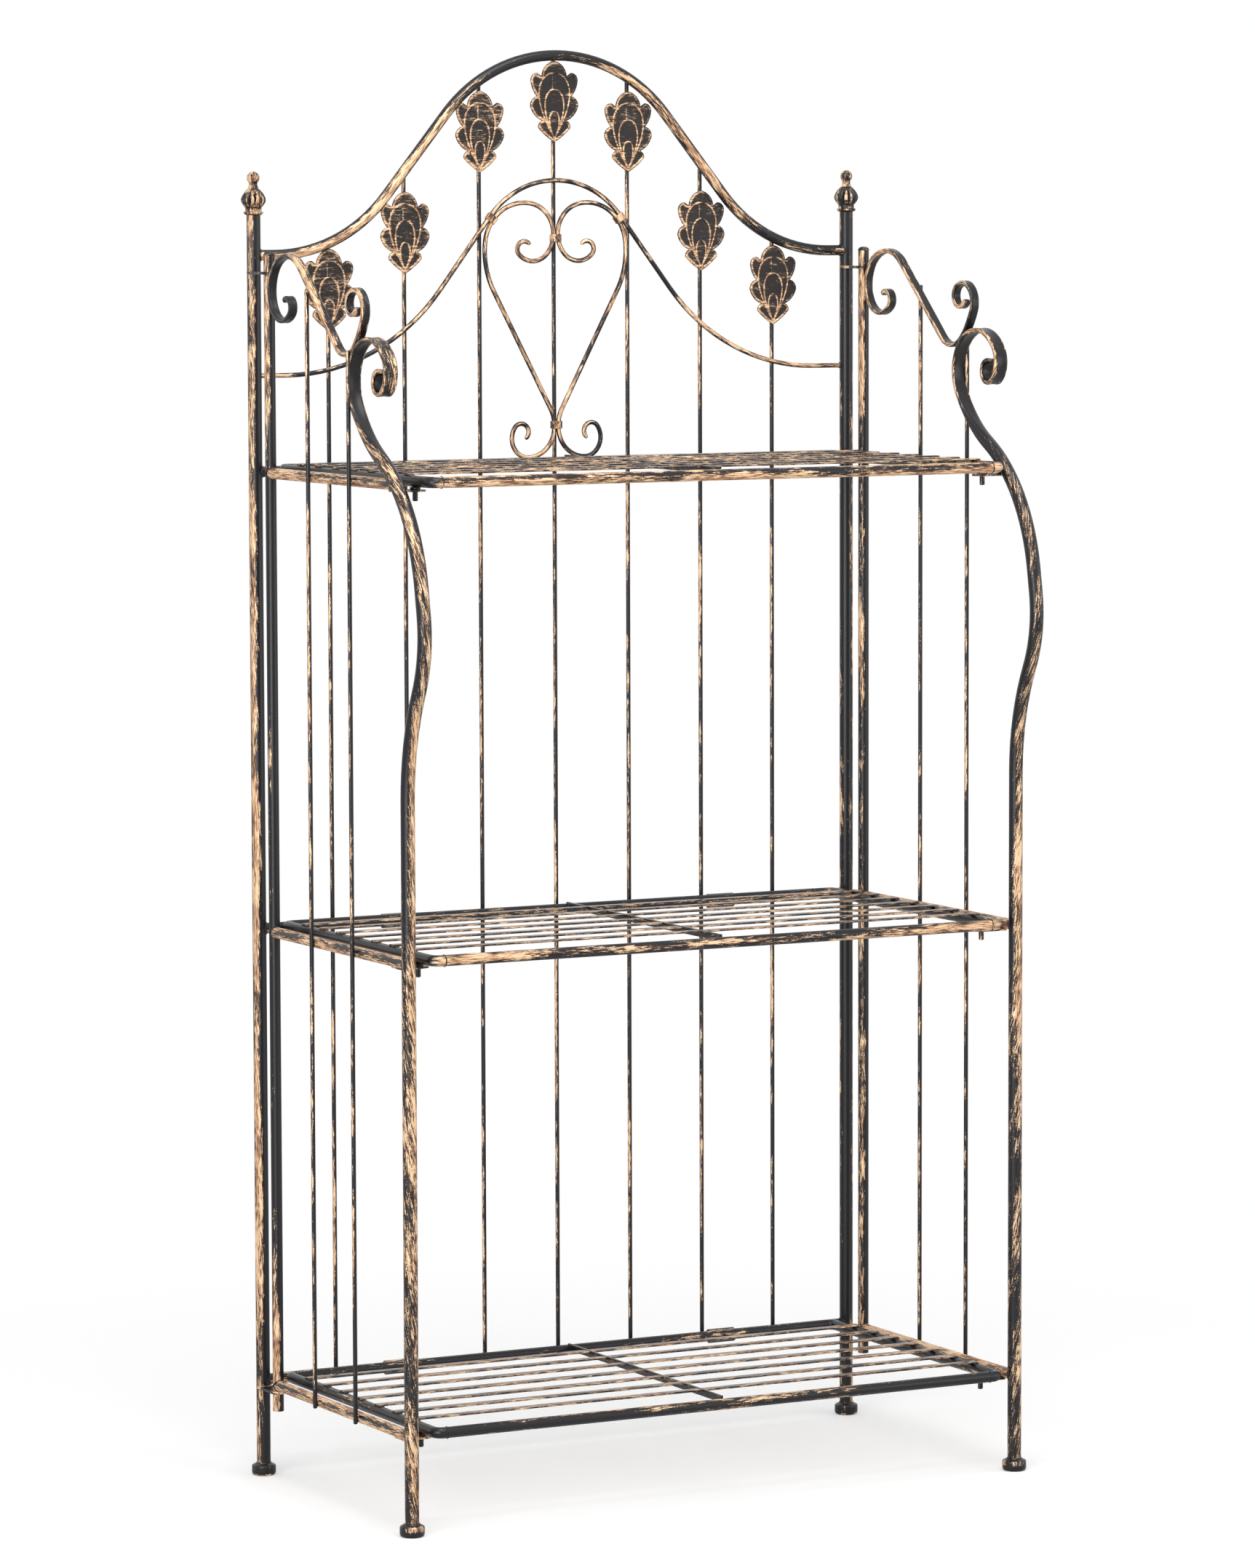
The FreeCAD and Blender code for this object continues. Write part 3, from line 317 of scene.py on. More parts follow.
def melon(height, turn):
    """1 off the bulb; on it 1 - depth * (1 - |cos(ribs * turn / 2)|^0.7), deepest at the bulb's middle."""
    inside = np.clip((height - BULB_FOOT) / (BULB_TOP - BULB_FOOT), 0, 1)
    depth = GROOVE_DEPTH * np.sin(math.pi * inside) ** 0.7
    return 1 - depth * (1 - np.abs(np.cos(RIBS * turn / 2)) ** 0.7)


bulb_heights = np.linspace(BULB_FOOT, BULB_TOP, 24)
bulb_radii = np.interp(bulb_heights, [height for _, height in BULB], [radius for radius, _ in BULB])
ball_turn = np.linspace(-0.95, 1.5, 16)
finial_profile = np.concatenate([
    FINIAL_FOOT, np.stack([bulb_radii, bulb_heights], 1), FINIAL_NECK,
    np.stack([BALL_RADIUS * np.cos(ball_turn), BALL_HEIGHT + BALL_RADIUS * np.sin(ball_turn)], 1)])
height = finial_profile[:, 1:]
turn = np.linspace(0, 2 * math.pi, AROUND, endpoint=False)[None]
on_lip, on_bulb = (height > 0.5) & (height < 6.0), (height > BULB_FOOT) & (height < BULB_TOP)
plain_share = np.where(height > BULB_TOP, 0.55, np.where(on_lip, 0.56, 0.36))
casting_share = np.where(on_bulb, 0.55 + 2.2 * (melon(height, turn) - 1), plain_share)
for side, sign in SIDES:
    # A slight lean of gold to the front left, partly painted light from the key lamp's side.
    casting = turned(finial_profile, at(sign * HALF_WIDTH, 0, POST_TOP), AROUND, melon, seed=7 + sign,
                     gold=casting_share, stripe=FRONT_LEFT[:2] * 0.06)
    piece(f"melon_finial_{side}", [casting], tube_enamel, "frame", f"finial_{side}", finish="casting_paint")


# ----------------------------------------------------------------- crossbars
# Three 12.7 mm tubes welded between the posts at the height of the side bars; the shelves turn on them.
# Their ends are notched 2 mm into the posts.

TUBE_RADIUS = 6.35
NOTCH = 2
TIERS = (("bottom", 112.0), ("middle", 640.0), ("top", 1168.0))
half_length = HALF_WIDTH - POST_RADIUS + NOTCH
for number, (tier, height) in enumerate(TIERS):
    crossbar = bar(at(-half_length, 0, height), at(half_length, 0, height), ring_of(TUBE_RADIUS),
                   seed=11 + number, gold=0.45, stripe=(0, -0.06, -0.10))
    piece(f"crossbar_{tier}", [crossbar], tube_enamel, "frame", f"back_crossbar_{tier}")


# ------------------------------------------------------------------ arch tube
# A 12.7 mm tube rolled to a bell: level at the posts, flared up and over the crown. The brush went along it,
# so its crown stayed dark and its flanks took most of the gold.

# A flat line lives in a plane given by two directions.
BACK_PLANE = (np.array([1.0, 0, 0]), np.array([0, 0, 1.0]))
ARCH_FOOT = 1416.0
ARCH_RADIUS = TUBE_RADIUS - 0.15
CROWN_REACH = 110.0


def bent(start, heading, steps):
    """Flat line of straight runs (length,) and arcs (radius, turn).

    An arc's points are its centre plus radius times (cos, sin) at even angles. Returns points and headings.
    """
    point, angle = np.array(start, float), math.radians(heading)
    points, angles = [point[None]], [np.array([angle])]
    for step in steps:
        if len(step) == 1:
            point = point + step[0] * np.array([math.cos(angle), math.sin(angle)])
            points.append(point[None])
            angles.append(np.array([angle]))
            continue
        radius, turn = step[0], math.radians(step[1])
        side = math.copysign(1.0, turn)
        middle = point + side * radius * np.array([-math.sin(angle), math.cos(angle)])
        along = angle + turn * np.linspace(0, 1, max(4, int(abs(step[1]) / 3)))[1:]
        points.append(middle + side * radius * np.stack([np.sin(along), -np.cos(along)], 1))
        angles.append(along)
        point, angle = points[-1][-1], along[-1]
    return np.concatenate(points), np.concatenate(angles)


def bell_line(foot, rise, level, slope, crown):
    """Level run, flare, straight flank, crown and back down.

    Flare and crown radii together are (across * sin(slope) - rise * cos(slope)) / (1 - cos(slope)), and the
    flank is rise * sin(slope) / (1 - cos(slope)) - across, across being the run's end to the middle.
    """
    across, sine, cosine = HALF_WIDTH - level, math.sin(math.radians(slope)), math.cos(math.radians(slope))
    flare = (across * sine - rise * cosine) / (1 - cosine) - crown
    flank = rise * sine / (1 - cosine) - across
    rising = [(level,), (flare, slope), (flank,)]
    return bent((-HALF_WIDTH, foot), 0, [*rising, (crown, -2 * slope), *reversed(rising)])


arch_line = bell_line(ARCH_FOOT, rise=230.0, level=26.0, slope=50.6, crown=186.6)
crown_share = np.exp(-(arch_line[0][:, :1] / CROWN_REACH) ** 2)
arch = carried(arch_line, BACK_PLANE, at(0, 0, 0), ring_of(ARCH_RADIUS, 32), seed=23,
               gold=0.22 - 0.18 * crown_share, stripe=(-0.2, -0.42, -0.16))
piece("arch", [arch], tube_enamel, "frame", "arch_tube")


# ------------------------------------------------------------------- bell rod
# A 5.5 mm rod bent to a steeper bell inside the arch and welded to the rods behind it.

SCROLL_RADIUS = 2.75
SCROLL_FORWARD = -(TUBE_RADIUS - SCROLL_RADIUS)
BELL_FOOT = 1278.0
# The same brush on thin rod: shorter streaks, longer strokes of gold and black by turns.
rod_enamel = brushed_enamel("dry_brushed_rod_enamel", ((160.0, 12.0, 0.8), (34.0, 9.0, 0.7), (9.0, 1.0, 0.5),
                                                       (1.6, 1.2, 0.3)))
bell = carried(bell_line(BELL_FOOT, rise=222.5, level=43.7, slope=52.33, crown=108.8), BACK_PLANE,
               at(0, SCROLL_FORWARD, 0), ring_of(SCROLL_RADIUS, 20), seed=19, gold=0.12,
               stripe=(-0.22, -0.50, 0.12))
piece("bell_scroll_rod", [bell], rod_enamel, "frame", "bell_rod", finish="scroll_paint")


# ------------------------------------------------------------------ back rods
# Seven 5 mm rods behind the crossbars, from under the lowest bar up to the arch, welded at each crossing.

ROD_RADIUS = 2.5
ROD_PITCH = 97.5
ROD_LENGTHS = (1324.83, 1410.33, 1512.85, 1540.35, 1512.85, 1410.33, 1324.83)
ROD_FOOT = TIERS[0][1] - TUBE_RADIUS
ROD_TIP, ROD_ROUND = np.array([0, 0.3, 0.8, 1.5]), 2.4
SHADED_REACH = 26


def end_size(line, length, tip, both=True):
    """Share of a section's size: 1, falling as a quarter of an ellipse to tip over the line's last few mm."""
    distance = run_along(line)
    left = distance[-1] - distance
    near = np.clip((np.minimum(distance, left) if both else left) / length, 0, 1)
    return (tip + (1 - tip) * np.sqrt(1 - (1 - near) ** 2))[:, None, None]


def upright_rod(foot, length, seed, gold=0.06):
    """Upright rod with rounded ends, its share of gold less by 0.2 exp(-(distance / 26 mm)^2) near the bars."""
    along = np.concatenate([ROD_TIP, np.linspace(ROD_ROUND, length - ROD_ROUND, 90), length - ROD_TIP[::-1]])
    line = straight_run(along)
    near = np.min(np.abs(foot[2] + along[:, None] - np.array([height for _, height in TIERS])), 1)
    share = gold - 0.2 * np.exp(-(near / SHADED_REACH) ** 2)[:, None]
    # The rod's gold leans to the front left, partly painted light from the key lamp's side.
    return carried(line, (np.array([0, 0, 1.0]), np.array([1.0, 0, 0])), foot,
                   ring_of(ROD_RADIUS, 16) * end_size(line[0], ROD_ROUND, 0.5), seed=seed, gold=share,
                   stripe=FRONT_LEFT * 0.55)


for number, length in enumerate(ROD_LENGTHS, 1):
    across = (number - 4) * ROD_PITCH
    rod = upright_rod(at(across, -(TUBE_RADIUS + ROD_RADIUS), ROD_FOOT), length - 1, seed=23 + number * 1.7)
    piece(f"upright_rod_{number}", [rod], rod_enamel, "frame", f"back_rod_{number}")


# --------------------------------------------------------------------- leaves
# Oak leaves stamped from steel sheet and welded to the rods, with a rolled rim and three nested arches
# pressed up from behind. The brush leaves gold on the raised lines and fine level marks on the dark field.

LEAF_SIZE = np.array([63.0, 94.5])
LEAF_THICKNESS = 1.1
LEAF_MIDDLES = (1375.27, 1440.32, 1556.94, 1592.10, 1556.94, 1440.32, 1375.27)
# Right half of the edge in shares of the leaf's size, each arc by its start, middle and end, and the height
# on the spine that each arc's start is spanned from.
LEAF_ARCS = (((0.02, 0.500), (0.195, 0.428), (0.262, 0.316)),
             ((0.262, 0.316), (0.303, 0.322), (0.350, 0.356)),
             ((0.350, 0.356), (0.440, 0.335), (0.487, 0.250)),
             ((0.487, 0.250), (0.445, 0.150), (0.361, 0.066)),
             ((0.361, 0.066), (0.455, 0.030), (0.500, -0.050)),
             ((0.500, -0.050), (0.410, -0.165), (0.256, -0.235)),
             ((0.256, -0.235), (0.315, -0.265), (0.335, -0.322)),
             ((0.335, -0.322), (0.185, -0.417), (0.000, -0.500)))
LEAF_SPINE = (0.43, 0.29, 0.19, 0.15, 0.04, -0.03, -0.235, -0.29, -0.42)
ARC_POINTS = 24
# Each arch by its half width, its top and how far up it is widest; all spring from one point.
LEAF_ARCHES = ((20.0, 33.5, 0.68), (12.3, 14.3, 0.67), (6.3, -11.1, 0.65))
LEAF_POINT = -43.1
# The rim's middle lies 1.8 mm in from the edge; half widths of rim, arches and vein, then their heights.
RIM_INSET, RIM_HALF, ARCH_HALF, VEIN_HALF = 1.8, 1.15, 0.85, 0.8
LINE_HEIGHT, VEIN_HEIGHT = 0.7, 0.25
# Gold on the field of each leaf above the first share, more on the left ones, and on the backs.
FIELD_SHARE, LEAF_HAZE, BACK_SHARE = 0.39, (0.05, 0.06, 0.06, 0.0, 0.03, 0.0, 0.0), 0.42


def arc_through(start, middle, end):
    """Points on the circle through three points, at even angles from start to end.

    The centre is where the sides' bisectors cross: each point's square times the other two points' gap.
    """
    (ax, ay), (bx, by), (cx, cy) = start, middle, end
    a, b, c = ax * ax + ay * ay, bx * bx + by * by, cx * cx + cy * cy
    d = 2 * (ax * (by - cy) + bx * (cy - ay) + cx * (ay - by))
    ux = (a * (by - cy) + b * (cy - ay) + c * (ay - by)) / d
    uy = (a * (cx - bx) + b * (ax - cx) + c * (bx - ax)) / d
    first, mid, last = (math.atan2(y - uy, x - ux) for x, y in (start, middle, end))
    turn = (last - first) % (2 * math.pi)
    if (mid - first) % (2 * math.pi) > turn:
        turn -= 2 * math.pi
    angle = first + turn * np.linspace(0, 1, ARC_POINTS, endpoint=False)
    radius = math.hypot(ax - ux, ay - uy)
    return np.stack([ux + radius * np.cos(angle), uy + radius * np.sin(angle)], 1)


def gap_to(places, curve):
    """Distance from each place to the nearest point of a finely divided curve."""
    flat = places.reshape(-1, 2)
    nearest = [np.sqrt(((part[:, None] - curve) ** 2).sum(-1).min(1)) for part in np.array_split(flat, 40)]
    return np.concatenate(nearest).reshape(places.shape[:-1])


def half_arch(half, top, widest):
    """Half an arch: width = half * (q / p)^a * ((1 - q) / (1 - p))^0.5, q from point to top, widest at p."""
    q = (1 - np.cos(np.linspace(0, math.pi, 240))) / 2
    width = half * (q / widest) ** (0.5 * widest / (1 - widest)) * ((1 - q) / (1 - widest)) ** 0.5
    return np.stack([width, LEAF_POINT + q * (top - LEAF_POINT)], 1)


def leaf_field(rows):
    """Flat grid of a leaf: spine + (edge - spine) * reach, reach from 0 to 1 in rows."""
    right = np.concatenate([arc_through(*(tuple(np.array(p) * LEAF_SIZE) for p in arc)) for arc in LEAF_ARCS])
    edge = np.concatenate([right, [(0.0, -LEAF_SIZE[1] / 2)], right[::-1] * np.array([-1, 1])])
    half_spine = np.interp(np.arange(len(right)) / ARC_POINTS, np.arange(9), LEAF_SPINE) * LEAF_SIZE[1]
    spine = np.concatenate([half_spine, [LEAF_SPINE[-1] * LEAF_SIZE[1]], half_spine[::-1]])
    spine = np.stack([0 * spine, spine], 1)
    return spine + (edge - spine) * np.linspace(0.0, 1, rows)[:, None, None], edge


def stamped_face(field, edge):
    """Relief in mm and share of gold: each line is exp(-(distance / half width)^2), the highest one counts.

    The rim is gold on the left and along the lower right, the arches all but their tops, the vein faintly. The
    fall of the rim's and the arches' gold from left to right is partly painted light: their left flanks are
    lit, and their right ones are in shade.
    """
    x, y = field[..., 0], field[..., 1]
    rim = np.exp(-((gap_to(field, edge) - RIM_INSET) / RIM_HALF) ** 2)
    # The rim's gold falls from full on the left to a quarter on the right. This is partly painted light, with
    # the left flank lit and the right one in shade, over the rim's real gold.
    brushed_and_lit = rim * np.interp(x, (-3, 5), (1.0, 0.25)) + rim * 0.5 * (x > 0) * np.clip((-24 - y) / 6, 0, 1)
    lines = rim
    for half, top, widest in LEAF_ARCHES:
        to_arch = gap_to(np.stack([np.abs(x), y], -1), half_arch(half, top, widest))
        line = np.exp(-(to_arch / ARCH_HALF) ** 2)
        bare = np.exp(-((x - 3) / 7) ** 2) * np.clip(1 - (top - y) / 4, 0, 1)
        lines = np.maximum(lines, line)
        # The arches' gold falls a little towards the right, partly painted light from the left.
        brushed_and_lit = np.maximum(brushed_and_lit, line * (1 - 0.8 * bare) * np.interp(x, (-5, 8), (1, 0.85)))
    vein = np.exp(-((x + 2.5) / VEIN_HALF) ** 2) * np.clip((9 - np.abs(y - 22.5)) / 2, 0, 1)
    share = FIELD_SHARE + (1 - FIELD_SHARE) * brushed_and_lit + 0.2 * vein
    return np.maximum(LINE_HEIGHT * lines, VEIN_HEIGHT * vein), share


# Browner and duller than the tubes: short level marks and specks that never quite cover the stamped field.
leaf_enamel = brushed_enamel("stamped_leaf_enamel", ((50.0, 16.0, 0.45), (14.0, 3.0, 0.5), (8.0, 0.9, 0.5),
                                                     (1.7, 1.3, 0.35)), dark="#120B07", gloss=0.4, edge=0.2)
field, leaf_edge = leaf_field(92)
relief, share = stamped_face(field, leaf_edge)
# The back is flat, so every thirteenth row will do, from the edge in to the spine.
back_rows = field[::-13]
for number, middle in enumerate(LEAF_MIDDLES, 1):
    place = at((number - 4) * ROD_PITCH, -TUBE_RADIUS, middle)
    front = place + np.stack([field[..., 0], -LEAF_THICKNESS - relief, field[..., 1]], -1)
    rear = place + np.stack([back_rows[..., 0], 0 * back_rows[..., 0] - 0.02, back_rows[..., 1]], -1)
    gold = np.concatenate([share + LEAF_HAZE[number - 1], np.full(back_rows.shape[:2], BACK_SHARE)])
    rings = np.concatenate([front, rear])
    piece(f"stamped_leaf_{number}", [(rings, rings + number * 37.0, gold, None)], leaf_enamel, "frame",
          f"leaf_{number}", finish="leaf_paint", crease=60)


# ------------------------------------------------------------- heart scrolls
# Two 5.5 mm rods, each bent to half a heart with curled ends, held together by folded bands at the waist and
# between the bows, and to the bell rod by one on each shoulder. They stand on the top crossbar, spot welded.

# Bends as (share of the heart's scale, turn): up from the waist, over the bow, and down to the base's curl.
HEART_SCALE = 306.095
HEART_SIDE = ((0.132, 28.1),)
HEART_BOW = ((0.326, -34.2), (0.167, -94.1), (0.118, -79.8))
HEART_CURL = ((0.116, -41.5), (0.080, -95.2), (0.030, -187.4))
HEART_BASE = ((0.376, -2.3), (0.113, -87.7), (0.066, -44.3), (0.076, -80.2), (0.032, -201.3))
WAIST_HEIGHT, BOWS_HEIGHT = 1214.18, 1433.06
SHOULDER_ACROSS, SHOULDER_HEIGHT, SHOULDER_LEAN = 84.16, 1456.22, 37.67
BAND_HALF, BAND_DEPTH = 6.7, 3.95
BAND_ROWS = np.array([-4.5, -4.1, -3.4, 3.4, 4.1, 4.5])
BAND_SWELL = np.array([0.90, 0.97, 1.0, 1.0, 0.97, 0.90])


def scaled(bends):
    """Bends given as shares of the heart's scale, in millimetres."""
    return [(share * HEART_SCALE, turn) for share, turn in bends]


def reversed_bends(bends):
    """The same bends taken from their far end back."""
    return [(radius, -turn) for radius, turn in reversed(bends)]


top_of_side, lean = (part[-1] for part in bent((0, 0), 90, scaled(HEART_SIDE)))
bow = bent((0, 0), math.degrees(lean), scaled(HEART_BOW))[0][-1]
flank = -(top_of_side[0] + bow[0]) / math.cos(lean)
base_line, base_heading = bent((-SCROLL_RADIUS, WAIST_HEIGHT), -90, scaled(HEART_BASE))
heart_points, heart_angles = bent(
    base_line[-1], math.degrees(base_heading[-1]) + 180,
    reversed_bends(scaled(HEART_BASE)) + scaled(HEART_SIDE) + [(flank,)] + scaled(HEART_BOW + HEART_CURL))
for side, sign in SIDES:
    points = heart_points * np.array([-sign, 1])
    angles = heart_angles if sign < 0 else math.pi - heart_angles
    scroll = carried((points, angles), BACK_PLANE, at(0, SCROLL_FORWARD, 0),
                     ring_of(SCROLL_RADIUS, 20) * end_size(points, 7.0, 0.45), seed=41 + sign, gold=0.12,
                     stripe=(-0.24, -0.50, 0.10))
    piece(f"heart_half_{side}", [scroll], rod_enamel, "frame", f"heart_scroll_{side}", finish="scroll_paint")


def squared(half_thickness, half_width, power, count=36):
    """Rounded rectangle as (side, across) pairs: each half size times the sign and power of cos or sin."""
    turn = np.linspace(0, 2 * math.pi, count, endpoint=False)
    wave = np.stack([np.cos(turn), np.sin(turn)], 1)
    return np.array([half_thickness, half_width]) * np.sign(wave) * np.abs(wave) ** power


def folded_band(across, height, lean, seed):
    """Band round two rods: a rounded rectangle carried up over 9 mm, its edges turned in a little."""
    lean = math.radians(lean)
    plane = (np.array([math.sin(lean), 0, math.cos(lean)]), np.array([math.cos(lean), 0, -math.sin(lean)]))
    return carried(straight_run(BAND_ROWS), plane, at(across, SCROLL_FORWARD, height),
                   squared(BAND_HALF, BAND_DEPTH, 0.35) * BAND_SWELL[:, None, None], seed=seed, gold=0.62)


bands = [folded_band(0, height, 0, seed=height) for height in (WAIST_HEIGHT, BOWS_HEIGHT)]
bands += [folded_band(sign * SHOULDER_ACROSS, SHOULDER_HEIGHT, -sign * SHOULDER_LEAN, seed=44 + sign)
          for _, sign in SIDES]
piece("scroll_bands", bands, rod_enamel, "frame", "scroll_clasps", finish="scroll_paint")


# --------------------------------------------------------- side panels' tubes
# A 12.7 mm tube stands just in front of each post, closed by a pressed domed cap, and turns in two plates
# that are welded to the post. Its lower end is left open, so the first rows of its profile line its bore.

REAR_FORWARD = 42.0
REAR_BOTTOM, REAR_TOP = 82.0, 1416.0
BORE_RADIUS = 5.35
CAP_PROFILE = ((6.4, 0.05), (6.9, 0.1), (6.95, 0.5), (6.9, 0.9), (6.4, 1.1), (6.2, 2.0), (5.4, 3.1), (3.8, 4.0),
               (1.8, 4.4), (0.3, 4.49))
PAINT_HEIGHTS = (180, 420, 1150, 1300)
REAR_PROFILE = ((BORE_RADIUS, REAR_BOTTOM + 40), (BORE_RADIUS, REAR_BOTTOM + 0.3), (5.7, REAR_BOTTOM),
                (6.1, REAR_BOTTOM), (TUBE_RADIUS, REAR_BOTTOM + 0.3),
                *((TUBE_RADIUS, height) for height in (*PAINT_HEIGHTS, REAR_TOP)))
END_SHARE, MIDDLE_SHARES = -0.02, (-0.28, -0.10)
caps = []
for (side, sign), middle in zip(SIDES, MIDDLE_SHARES):
    centre = at(sign * HALF_WIDTH, REAR_FORWARD, 0)
    share = np.interp([height for _, height in REAR_PROFILE], PAINT_HEIGHTS,
                      (END_SHARE, middle, middle, END_SHARE))[:, None]
    # The tube's gold leans to the front left, partly painted light from the key lamp's side.
    tube = turned(REAR_PROFILE, centre, around=28, seed=47 + sign, gold=share, stripe=FRONT_LEFT[:2] * 0.72)
    piece(f"rear_tube_{side}", [tube], tube_enamel, "frame", f"side_rear_tube_{side}")
    caps.append(turned(CAP_PROFILE, centre + np.array([0, 0, REAR_TOP]), around=32, seed=49 + sign, gold=0.42))
piece("domed_caps", caps, tube_enamel, "frame", "rear_tube_caps", finish="casting_paint")

# Small plates were dabbed, not dragged, so their marks are as wide as they are long.
plate_enamel = brushed_enamel("brushed_plate_enamel", ((30.0, 30.0, 0.5), (12.0, 12.0, 0.8), (3.0, 1.6, 0.5),
                                                       (1.6, 1.6, 0.3)), even_share=0.54)
for side, sign in SIDES:
    for name in (f"hinge_plates_{side}", f"shelf_tabs_{side}"):
        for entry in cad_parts[name].material_slots:
            entry.material = plate_enamel


# ----------------------------------------------------------------- front legs
# A 16 mm tube that bellies out at chest height and is pressed flat from the nape up, with a dished face and
# two thick rims, then curled over. The rims took the gold; the dished faces stayed black.

SIDE_PLANE = (np.array([0, -1.0, 0]), np.array([0, 0, 1.0]))
FRONT_RIGHT = np.array([0.53, -0.85, 0.0])
LEG_STRAIGHT = 820.0
LEG_BENDS = ((265.0, -27.4), (137.0, 37.5), (27.0,), (199.0, 51.3), (170.0, -28.4), (47.7, -87.6),
             (50.2, -90.5), (26.2, -90.3), (13.0, -240.0))
NAPE = 5
LEG_RADIUS = POST_RADIUS - 0.03
PRESSED_HALF, PRESSED_DEPTH, PRESSED_DISH = 8.5, 3.25, 0.42
# By height: share of gold, the brushed side's turn from front left to front right, and how far it leans;
# then the share on the scroll's outer face.
LEG_PAINT = ((((560, 660, 760, 1100), (0.50, 0.30, 0.14, 0.08)), ((830, 1290), (90, 0)),
              ((560, 760), (0.10, 0.56)), 0.50),
             (((300, 600, 900), (0.44, 0.34, 0.10)), ((500, 1290), (90, 20)),
              ((300, 800), (0.10, 0.45)), 0.36))
RIM_SHARE = 0.60


def ribbon(half_width, half_thickness, dish, count=36):
    """Flattened tube: a rounded rectangle whose thickness dips by dish * (1 - (across / half width)^2)^1.5."""
    thick, across = squared(half_thickness, half_width, 0.6, count).T
    thick = thick * (1 - dish * (1 - np.clip(np.abs(across) / half_width, 0, 1) ** 2) ** 1.5)
    return np.stack([thick, across], 1)


def ribbon_share(section, half_width, inner, outer, outer_side=1.0):
    """Share of gold on a ribbon: inner and outer on its two faces, passing to the rims' share at its edges."""
    near = np.clip((np.abs(section[..., 1]) / half_width - 0.62) / 0.3, 0, 1)
    face = np.where(section[..., 0] * outer_side > 0, outer, inner)
    return face + (RIM_SHARE - face) * near


# Bolder than on the back: the strokes wind round the leg, with crisp bristle lines and more brown between.
leg_enamel = brushed_enamel("dry_brushed_leg_enamel", ((220.0, 13.0, 0.6), (42.0, 7.0, 0.6), (14.0, 1.0, 0.9),
                                                       (1.6, 1.2, 0.5)), edge=0.12)
steps = [((LEG_STRAIGHT - FOOT_FLOOR) / 12,)] * 12
line = bent((LEG_FORWARD, FOOT_FLOOR), 90, [*steps, *LEG_BENDS])
nape, scroll = (len(bent((0, 0), 90, [*steps, *LEG_BENDS[:count]])[0]) for count in (NAPE - 1, NAPE))
flat = np.clip((np.arange(len(line[0])) - nape + 1) / (scroll - nape), 0, 1)
flat = (flat * flat * (3 - 2 * flat))[:, None, None]
pressed = ribbon(PRESSED_HALF, PRESSED_DEPTH, PRESSED_DISH)
section = ((1 - flat) * ring_of(LEG_RADIUS, 36) + flat * pressed) * end_size(line[0], 6.0, 0.35, both=False)
height = line[0][:, 1:]
for (side, sign), (*by_height, outer) in zip(SIDES, LEG_PAINT):
    share, turn, reach = (np.interp(height, *values) for values in by_height)
    stripe = reach * (np.cos(np.radians(turn)) * FRONT_LEFT + np.sin(np.radians(turn)) * FRONT_RIGHT)
    share = (1 - flat[..., 0]) * share + flat[..., 0] * ribbon_share(pressed, PRESSED_HALF, 0.20, outer)
    leg = carried(line, SIDE_PLANE, at(sign * HALF_WIDTH, 0, 0), section, seed=53 + sign, twist=-0.022 * sign,
                  gold=share, stripe=stripe * (1 - flat[:, 0]))
    piece(f"bellied_leg_{side}", [leg], leg_enamel, "frame", f"front_leg_{side}")


# ---------------------------------------------------------------- scroll bars
# A narrower flattened tube bent to an S between the rear tube and the leg's scroll, curled at both ends and
# welded where it touches them.

BAR_HALF, BAR_DEPTH, BAR_DISH = 5.25, 3.25, 0.22
BAR_RUN = 127.036
BAR_UP = ((39.0, -58.2), (52.8, -74.1))
BAR_FRONT = ((35.0, 86.8), (105.0, 20.0), (22.9, 153.1), (12.7, 211.7))
BAR_DOWN = ((39.0, 5.0), (31.9, 125.2), (10.4, 195.9))
BAR_OUTER = HALF_WIDTH + TUBE_RADIUS - BAR_HALF
BAR_CONTACT = (REAR_FORWARD + TUBE_RADIUS + BAR_DEPTH, 1375.0)
down_line, down_heading = bent(BAR_CONTACT, -90, BAR_DOWN)
bar_line = bent(down_line[-1], math.degrees(down_heading[-1]) + 180,
                [*reversed_bends(BAR_DOWN), *BAR_UP, (BAR_RUN,), *BAR_FRONT])
strip = ribbon(BAR_HALF, BAR_DEPTH, BAR_DISH, 32) * end_size(bar_line[0], 5.0, 0.4)
outer_side = np.ones((len(strip), 1))
outer_side[1 - len(bent((0, 0), 0, BAR_FRONT)[0]):] = -1
for (side, sign), outer in zip(SIDES, (0.50, 0.38)):
    share = ribbon_share(strip, BAR_HALF, 0.24, outer, outer_side)
    s_bar = carried(bar_line, SIDE_PLANE, at(sign * BAR_OUTER, 0, 0), strip, seed=61 + sign, gold=share)
    piece(f"s_scroll_{side}", [s_bar], tube_enamel, "frame", f"scroll_bar_{side}", finish="scroll_paint")


# -------------------------------------------------------- side bars and rods
# Three 12.7 mm tubes on each side, notched to fit the rear tube and the leg, and two 5 mm rods welded to
# their outer faces that run up to the scroll bar.

